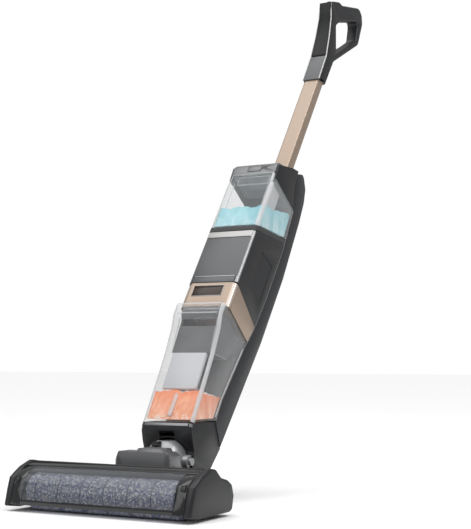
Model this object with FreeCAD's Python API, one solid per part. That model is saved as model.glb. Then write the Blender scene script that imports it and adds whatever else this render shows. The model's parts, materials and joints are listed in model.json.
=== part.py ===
"""Upright wet and dry floor scrubber: powered roller head, two clear tanks, tube and loop handle.

Units are millimetres.  The machine's front faces -Y, its right-hand side is +X and +Z is up.
The head is modelled where it stands.  Everything above the neck is modelled upright about the
recline pivot, with x across, y towards the back and z up the machine, and is then leaned back.
The last step moves the whole machine so that the origin is at the bottom centre of its box.
"""

import FreeCAD
import Part
import math
import os

os.makedirs("parts", exist_ok=True)

V = FreeCAD.Vector
AXIS_X = V(1, 0, 0)
AXIS_Y = V(0, 1, 0)
AXIS_Z = V(0, 0, 1)

# Driving dimensions
LEAN_DEG = 35.4          # how far the machine leans back at rest
PIVOT_Y = 168.0          # recline pivot, behind the front of the head
PIVOT_Z = 57.0           # recline pivot, above the floor
HEAD_HALF = 140.0        # half the width of the head
CAP_WALL = 10.0          # thickness of each side cap
WINDOW_HALF = 114.0      # half the width of the clear roller cover
BODY_HALF = 41.0         # half the width of the upright body
FRONT_Y = -44.0          # front plane of the upright body
WALL = 2.5               # general moulded wall
GAP = 0.3                # gap between neighbouring loose parts
RUNNING = 0.05           # radial clearance of a shaft in its bore

ROLLER_Y = 31.0
ROLLER_R = 24.0
CORE_R = 19.0
ROLLER_HALF = 112.0
MOTOR_R = 15.0
FILLER_Z = 452.0         # height of the filler plug in the back wall of the clean tank

WHEEL_R = 25.0
WHEEL_Y = 138.0
WHEEL_INNER = 58.0
WHEEL_OUTER = 74.0
AXLE_R = 3.0

DOME_R = 30.0
SPIGOT_R = 26.0
SOCKET_R = 36.0
SOCKET_TOP = 48.0
NECK_PIN_R = 5.0

BASE_HALF = 40.0
TUBE_HALF = 13.5
TUBE_FRONT = 18.0
TUBE_BACK = 38.0
HANDLE_HALF = 12.5
SKIN = 1.7               # depth of the handle's front covers
CORNER_R = 6.0


def box(x0, x1, y0, y1, z0, z1):
    """A block between two corners."""
    return Part.makeBox(x1 - x0, y1 - y0, z1 - z0, V(x0, y0, z0))


def slab(half, y0, y1, z0, z1):
    """A block centred across the machine."""
    return box(-half, half, y0, y1, z0, z1)


def side_prism(points, x0, x1):
    """A side outline of (y, z) points, extruded across from x0 to x1."""
    corners = [V(x0, y, z) for y, z in points]
    face = Part.Face(Part.makePolygon(corners + [corners[0]]))
    return face.extrude(V(x1 - x0, 0, 0))


def wide_prism(points, half):
    """A side outline extruded evenly to both sides."""
    return side_prism(points, -half, half)


def inset(points, wall):
    """The side outline with every edge moved inwards by a wall."""
    area = sum(a[0] * b[1] - b[0] * a[1] for a, b in zip(points, points[1:] + points[:1]))
    turn = 1 if area > 0 else -1
    edges = []
    for a, b in zip(points, points[1:] + points[:1]):
        length = math.hypot(b[0] - a[0], b[1] - a[1])
        run = ((b[0] - a[0]) / length, (b[1] - a[1]) / length)
        edges.append(((a[0] - turn * wall * run[1], a[1] + turn * wall * run[0]), run))
    corners = []
    for (p, u), (q, w) in zip(edges[-1:] + edges[:-1], edges):
        cross = u[0] * w[1] - u[1] * w[0]
        along = ((q[0] - p[0]) * w[1] - (q[1] - p[1]) * w[0]) / cross
        corners.append((p[0] + along * u[0], p[1] + along * u[1]))
    return corners


def rod(radius, start, direction, length):
    """A cylinder from a start point."""
    return Part.makeCylinder(radius, length, V(*start), direction)


def pipe(outer, inner, start, direction, length):
    """A tube with a round bore."""
    return rod(outer, start, direction, length).cut(rod(inner, start, direction, length))


def round_upright_edges(shape, radius, only=lambda edge: True):
    """Rounds the straight edges that run along z."""
    picked = [e for e in shape.Edges if is_along_z(e) and only(e)]
    return shape.makeFillet(radius, picked)


def is_along_z(edge):
    """Whether an edge is straight and runs mostly along z."""
    if len(edge.Vertexes) != 2:
        return False
    run = edge.Vertexes[1].Point - edge.Vertexes[0].Point
    return run.Length > 5 and abs(run.z) > 0.9 * run.Length


def is_front(edge):
    """Whether an edge lies on the front corners of the body."""
    return edge.CenterOfMass.y < FRONT_Y + 12 and abs(edge.CenterOfMass.x) > 30


# ---------------------------------------------------------------- floor head

CAP_OUTLINE = [(-1, 7), (4, 27), (9, 43), (18, 49), (28, 55), (48, 62), (61, 60), (74, 49),
               (90, 45), (100, 39), (105, 25), (101, 8), (96, 5), (22, 4)]


def side_cap(sign):
    """The side cap of the head, with a bearing recess for the roller."""
    cap = side_prism(CAP_OUTLINE, HEAD_HALF - CAP_WALL, HEAD_HALF)
    rim = [e for e in cap.Edges if abs(e.CenterOfMass.x - HEAD_HALF) < 0.01]
    cap = cap.makeChamfer(2.0, rim)
    cap = cap.cut(rod(6, (HEAD_HALF - CAP_WALL - 1, ROLLER_Y, ROLLER_R), AXIS_X, 6))
    return cap if sign > 0 else cap.mirror(V(0, 0, 0), AXIS_X)


def window_outline():
    """The section of the clear roller cover: outer arc, top lip and inner arc."""
    outer = Part.Arc(V(0, 0.5, 15.2), V(0, 5, 38), V(0, 18, 50.5)).toShape()
    top = Part.makeLine(V(0, 18, 50.5), V(0, 34, 55.5))
    lip = Part.makeLine(V(0, 34, 55.5), V(0, 34.3, 53))
    under = Part.makeLine(V(0, 34.3, 53), V(0, 19, 48.2))
    inner = Part.Arc(V(0, 19, 48.2), V(0, 7.3, 36.8), V(0, 3, 15.2)).toShape()
    foot = Part.makeLine(V(0, 3, 15.2), V(0, 0.5, 15.2))
    return Part.Face(Part.Wire([outer, top, lip, under, inner, foot]))


def cover_window():
    """The clear, curved window over the roller."""
    face = window_outline()
    face.translate(V(-WINDOW_HALF, 0, 0))
    return face.extrude(V(2 * WINDOW_HALF, 0, 0))


def cover_frame():
    """The dark frame of the roller cover: two end blocks, the lower bar and the top bar."""
    block = [(0, 9), (4.5, 27), (9.5, 43), (18, 49.5), (34, 55.5), (34, 49.6), (20, 45.5),
             (9.2, 35), (5.6, 20), (5.6, 9)]
    right = side_prism(block, WINDOW_HALF, HEAD_HALF - CAP_WALL - GAP)
    left = right.mirror(V(0, 0, 0), AXIS_X)
    lower = slab(WINDOW_HALF, 0, 4.2, 9, 15.2)
    top = wide_prism([(34.3, 53), (34, 56.3), (44, 60), (44, 56.5)], HEAD_HALF - CAP_WALL - GAP)
    frame = right.fuse([left, lower, top]).removeSplitter()
    notch = box(121, 128, -5, 20, 37, 44)
    return frame.cut(notch).cut(notch.mirror(V(0, 0, 0), AXIS_X))


def cover_latch(sign):
    """A latch tab that is pressed to free the roller cover."""
    tab = side_prism([(7.0, 37.6), (8.6, 43.4), (12.2, 43.4), (12.2, 37.6)], 121.4, 127.6)
    return tab if sign > 0 else tab.mirror(V(0, 0, 0), AXIS_X)


def roller_core():
    """The hollow core of the roller, with the web that the motor drives."""
    core = pipe(CORE_R, CORE_R - 2.5, (-ROLLER_HALF, ROLLER_Y, ROLLER_R), AXIS_X, 2 * ROLLER_HALF)
    web = pipe(CORE_R - 2.5, 3 + RUNNING, (-14, ROLLER_Y, ROLLER_R), AXIS_X, 6)
    return core.fuse(web)


def roller_fabric():
    """The microfibre sleeve round the core."""
    return pipe(ROLLER_R, CORE_R, (-ROLLER_HALF, ROLLER_Y, ROLLER_R), AXIS_X, 2 * ROLLER_HALF)


def roller_end_cap():
    """The pull-off end cap with its journal."""
    cap = rod(CORE_R - 2.5, (ROLLER_HALF - 6, ROLLER_Y, ROLLER_R), AXIS_X, 6)
    flange = rod(CORE_R, (ROLLER_HALF, ROLLER_Y, ROLLER_R), AXIS_X, 1.6)
    journal = rod(6 - RUNNING, (ROLLER_HALF, ROLLER_Y, ROLLER_R), AXIS_X, 22)
    return cap.fuse([flange, journal])


def roller_motor():
    """The motor inside the roller, held by a spindle in the left side cap."""
    can = rod(MOTOR_R, (-105, ROLLER_Y, ROLLER_R), AXIS_X, 88)
    spindle = rod(6, (-135, ROLLER_Y, ROLLER_R), AXIS_X, 30)
    shaft = rod(3, (-17, ROLLER_Y, ROLLER_R), AXIS_X, 11)
    return can.fuse([spindle, shaft])


HOUSING_OUTLINE = [(45, 52), (45, 61), (61, 60), (74, 49), (90, 45), (100, 39), (104, 25), (101, 9),
                   (98, 9), (100.5, 25), (97.6, 37), (88.5, 42.2), (72.5, 46.2), (60, 57), (48, 58),
                   (48, 52)]


def head_housing():
    """The top housing of the head, open below and in front."""
    half = HEAD_HALF - CAP_WALL
    shell = wide_prism(HOUSING_OUTLINE, half)
    return shell.cut(slab(39, 95, 110, 8, 38))


def sole_plate():
    """The underside plate behind the roller."""
    return slab(HEAD_HALF - CAP_WALL, 60, 97.6, 4, 7)


def scraper_bar():
    """The bar that wipes dirty water out of the roller."""
    return wide_prism([(56.2, 27), (56.2, 33), (60.6, 36), (60.6, 7.2), (58, 7.2)], ROLLER_HALF)


def spray_bar():
    """The water bar with its row of outlets above the roller."""
    bar = slab(ROLLER_HALF - 8, 49, 55, 50, 55)
    for i in range(9):
        bar = bar.cut(rod(0.9, (-96 + 24 * i, 52, 49), AXIS_Z, 3))
    return bar


def suction_duct():
    """The rectangular duct from behind the roller to the neck socket."""
    outer = slab(22, 61, 131.7, 12, 34)
    return outer.cut(slab(20, 60, 140, 14, 32))


def front_prism(points, y0, y1):
    """A front outline of (x, z) points, extruded back from y0 to y1."""
    corners = [V(x, y0, z) for x, z in points]
    face = Part.Face(Part.makePolygon(corners + [corners[0]]))
    return face.extrude(V(0, y1 - y0, 0))


def neck_housing():
    """The stepped block at the back of the head, in front of the neck."""
    lower = slab(40, 105, 131.5, 8, 52)
    upper = front_prism([(-44, 51), (-44, 56), (-35.5, 73), (37, 73), (44, 68), (44, 51)], 105, 131.5)
    step = front_prism([(-10, 72), (-6, 77.5), (29, 77.5), (33, 72)], 108, 131.5)
    rounded = round_upright_edges(slab(44, 105, 131.5, 8, 80), 8.0, lambda edge: edge.CenterOfMass.y < 110)
    block = lower.fuse([upper, step]).common(rounded).removeSplitter()
    inside = slab(36, 107.5, 129, 5, 60)
    cavity = front_prism([(-36, 55), (-33, 70.5), (36, 70.5), (36, 55)], 107.5, 129)
    passage = slab(22.3, 100, 140, 11.7, 34.3)
    return block.cut(inside).cut(cavity).cut(passage)


def rear_carriage():
    """The carriage that holds the neck socket and the wheel axle."""
    boss = rod(SOCKET_R, (0, PIVOT_Y, 7), AXIS_Z, SOCKET_TOP - 7)
    arm = slab(54, 132, 146, 16, 34)
    foot = slab(30, 132, PIVOT_Y, 7, 44)
    frame = boss.fuse([arm, foot]).removeSplitter()
    bore = rod(SPIGOT_R + RUNNING, (0, PIVOT_Y, 12), AXIS_Z, 60)
    axle = rod(AXLE_R, (-60, WHEEL_Y, WHEEL_R), AXIS_X, 120)
    mouth = slab(20, 120, 150, 14, 32)
    return frame.cut(bore).cut(axle).cut(mouth)


def wheel_axle():
    """The steel axle of both rear wheels, in two stubs joined to the carriage."""
    left = rod(AXLE_R, (-77, WHEEL_Y, WHEEL_R), AXIS_X, 77 - 22)
    right = rod(AXLE_R, (22, WHEEL_Y, WHEEL_R), AXIS_X, 77 - 22)
    return Part.makeCompound([left, right])


def rear_wheel(sign):
    """A rear wheel with its dished hub and rounded tyre."""
    width = WHEEL_OUTER - WHEEL_INNER
    wheel = rod(WHEEL_R, (WHEEL_INNER, WHEEL_Y, WHEEL_R), AXIS_X, width)
    rims = [e for e in wheel.Edges if len(e.Vertexes) == 1]
    wheel = wheel.makeFillet(2.0, rims)
    wheel = wheel.cut(rod(AXLE_R + RUNNING, (40, WHEEL_Y, WHEEL_R), AXIS_X, 60))
    wheel = wheel.cut(pipe(WHEEL_R - 7, 8, (WHEEL_OUTER - 4, WHEEL_Y, WHEEL_R), AXIS_X, 5))
    return wheel if sign > 0 else wheel.mirror(V(0, 0, 0), AXIS_X)


def head_screws():
    """The screws that hold the sole plate."""
    screws = []
    for x in (-118, -50, 50, 118):
        shank = rod(1.4, (x, 92, 4.6), AXIS_Z, 7)
        screws.append(shank.fuse(rod(2.6, (x, 92, 3.4), AXIS_Z, 1.4)))
    return Part.makeCompound(screws)


def screw_bores(shape):
    """Clears a part round the head screws."""
    for x in (-118, -50, 50, 118):
        shape = shape.cut(rod(1.4, (x, 92, 3), AXIS_Z, 12)).cut(rod(2.6, (x, 92, 3), AXIS_Z, 1.8))
    return shape


# ---------------------------------------------------------------- neck

def neck_dome():
    """The round neck: a domed top on a turning spigot, with the two recline pins."""
    ball = Part.makeSphere(DOME_R, V(0, PIVOT_Y, PIVOT_Z))
    upper = ball.common(box(-40, 40, PIVOT_Y - 40, PIVOT_Y + 40, PIVOT_Z, PIVOT_Z + 40))
    skirt = rod(DOME_R, (0, PIVOT_Y, SOCKET_TOP + 0.6), AXIS_Z, PIVOT_Z - SOCKET_TOP - 0.6)
    spigot = rod(SPIGOT_R, (0, PIVOT_Y, 14), AXIS_Z, SOCKET_TOP - 13)
    bosses = rod(9, (-36.6, PIVOT_Y, PIVOT_Z), AXIS_X, 73.2)
    pins = rod(NECK_PIN_R, (-40.5, PIVOT_Y, PIVOT_Z), AXIS_X, 81)
    dome = upper.fuse([skirt, spigot, bosses, pins]).removeSplitter()
    bore = rod(20, (0, PIVOT_Y, 10), AXIS_Z, 52)
    port = rod(12, (0, PIVOT_Y, 50), AXIS_Z, 60)
    mouth = slab(16, PIVOT_Y - 40, PIVOT_Y, 15, 31)
    window = slab(5, PIVOT_Y - 40, PIVOT_Y - 21, 72, 78)
    slot = slab(6, PIVOT_Y - 40, PIVOT_Y - 26, 66, 67.5)
    return dome.cut(bore).cut(port).cut(mouth).cut(window).cut(slot)


def neck_hose():
    """The short suction hose that stands up through the neck."""
    hose = pipe(11.6, 9.6, (0, PIVOT_Y, 34), AXIS_Z, 50)
    for i in range(8):
        hose = hose.fuse(pipe(12.6 if i < 4 else 11.9, 11, (0, PIVOT_Y, 36 + 6 * i), AXIS_Z, 2))
    return hose


# ---------------------------------------------------------------- upright body

SPINE_BACK = [(54, 54), (61, 139), (69, 244), (71, 368), (64, 476), (60, 506), (49, 536),
              (34, 548)]
SEAM = [(20, 77), (18, 110), (29, 208), (37, 246), (42, 305), (43, 397), (35, 478)]
BASE_OUTLINE = [(-30, 41.5), (-28.5, 36), (-14, 22), (-3, 14), (6, -7), (47, 16), (49, 27),
                (53.8, 53.5), (20, 76)]


def carriage_sweep():
    """The space that the neck and the socket pass through as the body reclines."""
    sweep = Part.makeSphere(DOME_R + 1.5, V(0, 0, 0))
    sweep = sweep.fuse(rod(10, (-37, 0, 0), AXIS_X, 74))
    for tilt in (0, 14, 28, 42, 56, 70.4):
        angle = math.radians(tilt)
        down = V(0, math.sin(angle), -math.cos(angle))
        sweep = sweep.fuse(Part.makeCylinder(SOCKET_R + 3.0, 60, V(0, 0, 0) + down * 4, down))
    return sweep.common(slab(37.2, -80, 80, -80, 80))


def base_box():
    """The lower box of the body, arched round the neck, with a cheek at each recline pin."""
    solid = wide_prism(BASE_OUTLINE, BASE_HALF)
    edges = [e for e in solid.Edges if is_along_z(e) and e.CenterOfMass.y < -20]
    solid = solid.makeFillet(4.0, edges)
    cavity = wide_prism([(-24, 38), (-10, 22), (45, 22), (50, 50), (20, 70), (-20, 46)], 36.5)
    slot = slab(12, -40, -16, 26, 32)
    shell = solid.cut(cavity).cut(carriage_sweep()).cut(slot)
    return shell.cut(rod(NECK_PIN_R + RUNNING, (-45, 0, 0), AXIS_X, 90))


def spine_outline():
    """The side outline of the spine between the seam and the back."""
    return SEAM + [(20, 512), (14, 538), (27, 549)] + SPINE_BACK[::-1]


def spine_cover():
    """The long rear cover, a trough open towards the tanks."""
    outer = wide_prism(spine_outline(), BODY_HALF)
    inner_points = [(y - WALL, z) for y, z in SPINE_BACK]
    inner_points[0] = (51, 62)
    inner_points[-1] = (32, 540)
    inner = wide_prism([(0, 62)] + inner_points + [(0, 540)], BODY_HALF - WALL)
    back_edges = [e for e in outer.Edges if is_along_z(e) and abs(abs(e.CenterOfMass.x) - BODY_HALF) < 0.1
                  and e.CenterOfMass.y > 52 and 60 < e.CenterOfMass.z < 490]
    outer = outer.makeChamfer(2.2, back_edges)
    shell = outer.cut(inner).cut(slab(TUBE_HALF + 1.7, 15.5, 40.5, 500, 560))
    return shell


def inner_frame():
    """The wall between the tanks and the spine, with the socket floor for the tube."""
    front = [(y + GAP, z) for y, z in SEAM]
    back = [(y + GAP + 3, z) for y, z in SEAM[::-1]]
    return wide_prism(front + back, BODY_HALF - WALL - GAP)


def motor_housing():
    """The middle box that holds the suction motor between the tanks."""
    outline = [(FRONT_Y, 272.5), (37.2, 251.3), (41.7, 305), (42.7, 397), (41.0, 414.5), (FRONT_Y, 371)]
    outer = round_upright_edges(wide_prism(outline, BODY_HALF), CORNER_R, is_front)
    inner = wide_prism(inset(outline, WALL), BODY_HALF - WALL)
    recess = slab(BODY_HALF - 3.2, FRONT_Y - 1, FRONT_Y + 1.5, 283.5, 371.5)
    vent = box(BODY_HALF - 1.2, BODY_HALF + 1, -10, 28, 292, 358)
    shell = outer.cut(inner).cut(recess).cut(vent)
    return shell.cut(vent.mirror(V(0, 0, 0), AXIS_X))


def front_panel():
    """The satin front panel."""
    return slab(BODY_HALF - 3.4, FRONT_Y, FRONT_Y + 1.5, 284, 358.5)


def silver_trim():
    """The pale strip across the top of the front panel."""
    return slab(BODY_HALF - 3.4, FRONT_Y - 0.2, FRONT_Y + 1.5, 359.5, 370.5)


def exhaust_grilles():
    """The side plates of the motor housing: a plain one on the right, a slatted outlet on the left."""
    plain = box(BODY_HALF - 1.2, BODY_HALF - 0.4, -9.8, 27.8, 292.2, 357.8)
    slatted = plain.mirror(V(0, 0, 0), AXIS_X)
    for i in range(9):
        slatted = slatted.cut(box(-BODY_HALF - 1, -BODY_HALF + 3, -5, 23, 298 + 6.6 * i, 300.4 + 6.6 * i))
    return Part.makeCompound([plain, slatted])


def suction_motor():
    """The suction motor inside the middle box."""
    can = rod(31, (0, 0, 290), AXIS_Z, 42)
    top = pipe(34, 32.5, (0, 0, 332), AXIS_Z, 16)
    stub = rod(4, (0, 0, 332), AXIS_Z, 4)
    return can.fuse([top, stub, pipe(34, 28, (0, 0, 328), AXIS_Z, 4)])


def fan_impeller():
    """The bladed suction fan."""
    disc = rod(30, (0, 0, 336.5), AXIS_Z, 2)
    hub = rod(7, (0, 0, 336.5), AXIS_Z, 11)
    wheel = disc.fuse(hub)
    for i in range(9):
        blade = box(6, 29, -0.6, 0.6, 338, 346.5)
        blade.rotate(V(6, 0, 0), AXIS_Z, 28)
        blade.rotate(V(0, 0, 0), AXIS_Z, 40 * i)
        wheel = wheel.fuse(blade)
    return wheel.common(rod(30, (0, 0, 330), AXIS_Z, 30))


def battery_pack():
    """The battery: a row of cells in a sleeve inside the spine."""
    return slab(34, 48, 65, 256, 388)


def control_board():
    """The control board above the battery."""
    board = slab(30, 50, 51.6, 400, 470)
    for x, z in ((-18, 412), (0, 425), (16, 445), (-14, 452)):
        board = board.fuse(box(x - 6, x + 6, 51.6, 56, z - 5, z + 5))
    return board


def water_pump():
    """The small pump that feeds the spray bar."""
    can = rod(9, (-22, 43, 90), AXIS_Z, 34)
    return can.fuse(rod(3, (-22, 43, 124), AXIS_Z, 5))


def dirty_duct():
    """The suction pipe from the base up the spine to the dirty tank's inlet."""
    return pipe(10.5, 9, (16, 42, 76), AXIS_Z, 100)


def tank_gasket():
    """The sloping black seat of the clean tank."""
    low = [(FRONT_Y, 371.4), (40.8, 415), (40.0, 423), (FRONT_Y, 380)]
    return round_upright_edges(wide_prism(low, BODY_HALF), 5.0, is_front)


def top_cap():
    """The dark top of the body: two cheeks and the sloping roof with the tube hole."""
    outline = [(-41, 480), (-43, 505), (-4, 534), (13.0, 543), (19.0, 511.5), (33.6, 480)]
    solid = wide_prism(outline, BODY_HALF)
    room = wide_prism([(-50, 470), (-50, 514.3), (-40, 514.3), (-8, 528.5), (15, 507), (26, 487), (50, 470)],
                      BODY_HALF - WALL - 0.1)
    return solid.cut(room).cut(slab(TUBE_HALF + 1.7, 15.5, 40.5, 500, 560))


def tube_socket():
    """The sleeve in the body that holds the bottom of the handle tube."""
    sleeve = slab(TUBE_HALF + 1.6, TUBE_FRONT - 2, TUBE_BACK + 2, 500, 553)
    return sleeve.cut(slab(TUBE_HALF + 0.1, TUBE_FRONT - 0.1, TUBE_BACK + 0.1, 503, 560))


def charging_contacts():
    """Two charging contacts low on the back of the spine."""
    pads = [box(x - 4, x + 4, 59.2, 62.6, 100, 112) for x in (-12, 12)]
    return Part.makeCompound(pads)


def spine_holes(shape):
    """Opens the spine round its contacts, its screws and the tube's release button."""
    button = rod(5.8, (0, 45, 522), AXIS_Y, 20)
    return shape.cut(charging_contacts()).cut(body_screws()).cut(button)


def body_screws():
    """The screws that hold the spine cover to the frame."""
    screws = []
    for y, z in ((61.8, 150), (70.4, 330), (62.1, 490)):
        for x in (-30, 30):
            screws.append(rod(2.4, (x, y - 2.0, z), AXIS_Y, 2.3))
    return Part.makeCompound(screws)


def tube_lock_button():
    """The button on the back that frees the handle tube."""
    return rod(5.5, (0, 44.0, 522), AXIS_Y, 14.5)


# ---------------------------------------------------------------- clean tank

def clean_tank_shell():
    """The clear clean-water tank: a wide lower part and a narrower neck between the cheeks."""
    lower = wide_prism([(FRONT_Y, 380.6), (39.6, 424.0), (34.4, 478.8), (FRONT_Y, 478.8)], BODY_HALF)
    lower = round_upright_edges(lower, CORNER_R, is_front)
    upper = slab(BODY_HALF - WALL - 0.5, FRONT_Y, 14, 470, 489)
    upper = round_upright_edges(upper, CORNER_R - 2, is_front)
    outer = lower.fuse(upper).removeSplitter()
    lower_in = wide_prism([(FRONT_Y + 2.2, 384), (37.2, 425.4), (32.2, 476.6), (FRONT_Y + 2.2, 476.6)],
                          BODY_HALF - 2.2)
    upper_in = slab(BODY_HALF - WALL - 2.7, FRONT_Y + 2.2, 11.8, 470, 486.8)
    filler = rod(10, (2, 20, FILLER_Z), AXIS_Y, 30)
    return outer.cut(lower_in.fuse(upper_in)).cut(filler)


def clean_tank_lid():
    """The grey cap on the clean tank, with the release button's recess."""
    outline = [(FRONT_Y, 489.2), (FRONT_Y, 506), (-40, 512), (-12, 525), (11, 506), (13, 489.2)]
    solid = wide_prism(outline, BODY_HALF - WALL - 0.5)
    inner = wide_prism([(-41, 486), (-41, 504), (-12, 521), (8, 505), (10, 486)], BODY_HALF - WALL - 3)
    recess = slab(11.3, -50, -39.5, 494, 504)
    return solid.cut(inner).cut(recess)


def filler_cap():
    """The round filler plug in the back wall of the clean tank."""
    plug = rod(9.8, (2, 29, FILLER_Z), AXIS_Y, 7.4)
    return plug.fuse(rod(12, (2, 29, FILLER_Z), AXIS_Y, 2.4)).removeSplitter()


def clean_tank_button():
    """The release button in the front of the clean tank's cap."""
    return slab(11, FRONT_Y - 0.6, -41.3, 494.3, 503.7)


# ---------------------------------------------------------------- dirty tank

DIRTY_OUTLINE = [(-30, 43), (-36, 113), (-40, 152), (-47, 190), (-54, 210), (-54, 228),
                 (30.8, 217.8), (28.2, 205), (22.6, 158), (17.6, 110), (19.4, 78)]


def dirty_outer(shrink, half):
    """The dirty tank's outline shrunk by a wall, with the top closed by a slope."""
    points = inset(DIRTY_OUTLINE, shrink) if shrink else DIRTY_OUTLINE
    return wide_prism(points, half)


def dirty_tank_shell():
    """The clear dirty-water tank, flared at the top of its front."""
    outer = dirty_outer(0, BODY_HALF - 0.5)
    edges = [e for e in outer.Edges if is_along_z(e) and e.CenterOfMass.y < -28]
    outer = outer.makeFillet(5.0, edges)
    inner = dirty_outer(2.2, BODY_HALF - 2.7)
    mouth = wide_prism([(-49, 205), (-49, 240), (28, 240), (27, 200)], BODY_HALF - 3.2)
    inlet = rod(9.4, (16, 10, 190), AXIS_Y, 40)
    return outer.cut(inner).cut(mouth).cut(inlet)


def tank_collar():
    """The champagne collar that caps the dirty tank, with the latch window."""
    outline = [(FRONT_Y, 229), (FRONT_Y, 271.8), (36.7, 250.8), (31.2, 219.8)]
    outer = round_upright_edges(wide_prism(outline, BODY_HALF), 9.0, is_front)
    inner = wide_prism([(FRONT_Y + 2.5, 222), (FRONT_Y + 2.5, 268.4), (33.4, 249), (28.4, 213)],
                       BODY_HALF - WALL)
    window = box(-27.5, 21.5, -50, -38, 248.5, 266.5)
    return outer.cut(inner).cut(window)


def tank_latch():
    """The dark latch button in the collar's window."""
    return box(-27, 21, -43.0, -39.5, 249, 266)


def filter_box():
    """The dark filter housing that hangs in the tank from the collar."""
    outer = [(-40, 206), (-46, 214), (-46, 226.8), (26, 218), (22, 190), (10, 172), (-34, 154)]
    inner = [(-41, 207), (-43, 214), (-43, 240), (22, 240), (19, 192), (8, 176), (-31, 159)]
    return wide_prism(outer, 31).cut(wide_prism(inner, 28)).removeSplitter()


def filter_panel():
    """The pale separator plate below the filter housing."""
    return wide_prism([(-31.6, 96), (-36.4, 150), (-36.4, 152.6), (-31, 152.6), (-27.6, 96)], 27)


# ---------------------------------------------------------------- tube and handle

HANDLE_FRONT = [(16, 767), (14.5, 824), (5, 866), (-6, 901), (-21, 927)]
HANDLE_OUTLINE = HANDLE_FRONT + [(-10, 941), (6, 958), (18, 963), (72, 1019), (88, 1017), (100, 1004),
                                 (108, 956), (44, 839), (42, 778)]
HANDLE_HOLE = [(18, 907), (41, 867), (43, 857), (79, 922), (96, 956), (82, 993), (58, 965), (28, 930)]


def handle_tube():
    """The champagne tube between the body and the handle."""
    outer = slab(TUBE_HALF, TUBE_FRONT, TUBE_BACK, 503.5, 822)
    outer = round_upright_edges(outer, 3.5)
    inner = slab(TUBE_HALF - 1.5, TUBE_FRONT + 1.5, TUBE_BACK - 1.5, 500, 830)
    return outer.cut(round_upright_edges(inner, 2.0))


def handle_blank():
    """The whole loop handle before it is split into its shells."""
    loop = wide_prism(HANDLE_OUTLINE, HANDLE_HALF).cut(wide_prism(HANDLE_HOLE, HANDLE_HALF + 1))
    sleeve = wide_prism([(16, 767), (14.5, 824), (5, 866), (-6, 901), (24, 906), (42, 860), (44, 839),
                         (42, 778)], TUBE_HALF + 2.2)
    taper = Part.Face(Part.makePolygon([V(-15.7, -60, 760), V(-15.7, -60, 830), V(-12.5, -60, 901),
                                        V(-11, -60, 930), V(-11, -60, 1040), V(11, -60, 1040),
                                        V(11, -60, 930), V(12.5, -60, 901), V(15.7, -60, 830),
                                        V(15.7, -60, 760), V(-15.7, -60, 760)])).extrude(V(0, 220, 0))
    return loop.fuse(sleeve).common(taper).removeSplitter()


def front_skin(z0, z1):
    """A thin skin along the front of the handle, between two heights."""
    back = [(y + SKIN, z) for y, z in HANDLE_FRONT[::-1]]
    skin = wide_prism(HANDLE_FRONT + back, 20)
    return handle_blank().common(skin).common(slab(30, -60, 200, z0, z1))


def handle_shell(sign):
    """One half of the loop handle's shell."""
    half = handle_blank().cut(front_skin(700, 1100))
    half = half.common(box(0, 40, -80, 160, 700, 1100))
    half = half.cut(slab(TUBE_HALF + 0.05, TUBE_FRONT - 0.05, TUBE_BACK + 0.05, 760, 822.2))
    half = half.cut(slab(4.3, 4, 34, 911, 930)).cut(grip_pad()).cut(button_wells())
    return half if sign > 0 else half.mirror(V(0, 0, 0), AXIS_X)


def sleeve_panel():
    """The satin grey front of the sleeve."""
    return front_skin(767, 824)


def stem_cover():
    """The dark front cover of the handle's stem."""
    return front_skin(826, 928)


def grip_pad():
    """The soft pad let into the top of the grip."""
    return wide_prism([(22, 967.15), (24, 962.4), (68, 1008.0), (66, 1012.8)], 8)


def trigger():
    """The trigger in the front corner under the grip."""
    return wide_prism([(12, 912.5), (12, 922), (27.5, 925), (24, 914.5)], 4)


def button_axis():
    """The direction in which the two thumb buttons are pressed, pointing out of the handle."""
    return V(0, -17, 16).normalize()


def thumb_button(y, z, radius, height):
    """A round thumb button on the sloping top of the stem."""
    out = button_axis()
    return Part.makeCylinder(radius, height, V(0, y, z) - out * (height - 1.0), out)


def power_button():
    """The power button."""
    return thumb_button(0.0, 951.2, 4.2, 4.0)


def mode_button():
    """The mode button."""
    return thumb_button(-11.5, 939.0, 3.4, 4.0)


def button_wells():
    """The wells in the handle that the thumb buttons travel in."""
    return thumb_button(0.0, 951.2, 4.5, 7.0).fuse(thumb_button(-11.5, 939.0, 3.7, 7.0))


# ---------------------------------------------------------------- assembly

def floor_parts():
    """Every part of the floor head and neck, where it stands."""
    return {
        "left_side_cap": side_cap(-1),
        "right_side_cap": side_cap(1),
        "cover_window": cover_window(),
        "cover_frame": cover_frame(),
        "left_cover_latch": cover_latch(-1),
        "right_cover_latch": cover_latch(1),
        "roller_core": roller_core(),
        "roller_fabric": roller_fabric(),
        "roller_end_cap": roller_end_cap(),
        "roller_motor": roller_motor(),
        "head_housing": screw_bores(head_housing()),
        "sole_plate": screw_bores(sole_plate()),
        "scraper_bar": scraper_bar(),
        "spray_bar": spray_bar(),
        "suction_duct": suction_duct(),
        "neck_housing": neck_housing(),
        "rear_carriage": rear_carriage(),
        "wheel_axle": wheel_axle(),
        "left_wheel": rear_wheel(-1),
        "right_wheel": rear_wheel(1),
        "head_screws": head_screws(),
        "neck_dome": neck_dome(),
        "neck_hose": neck_hose(),
    }


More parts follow.
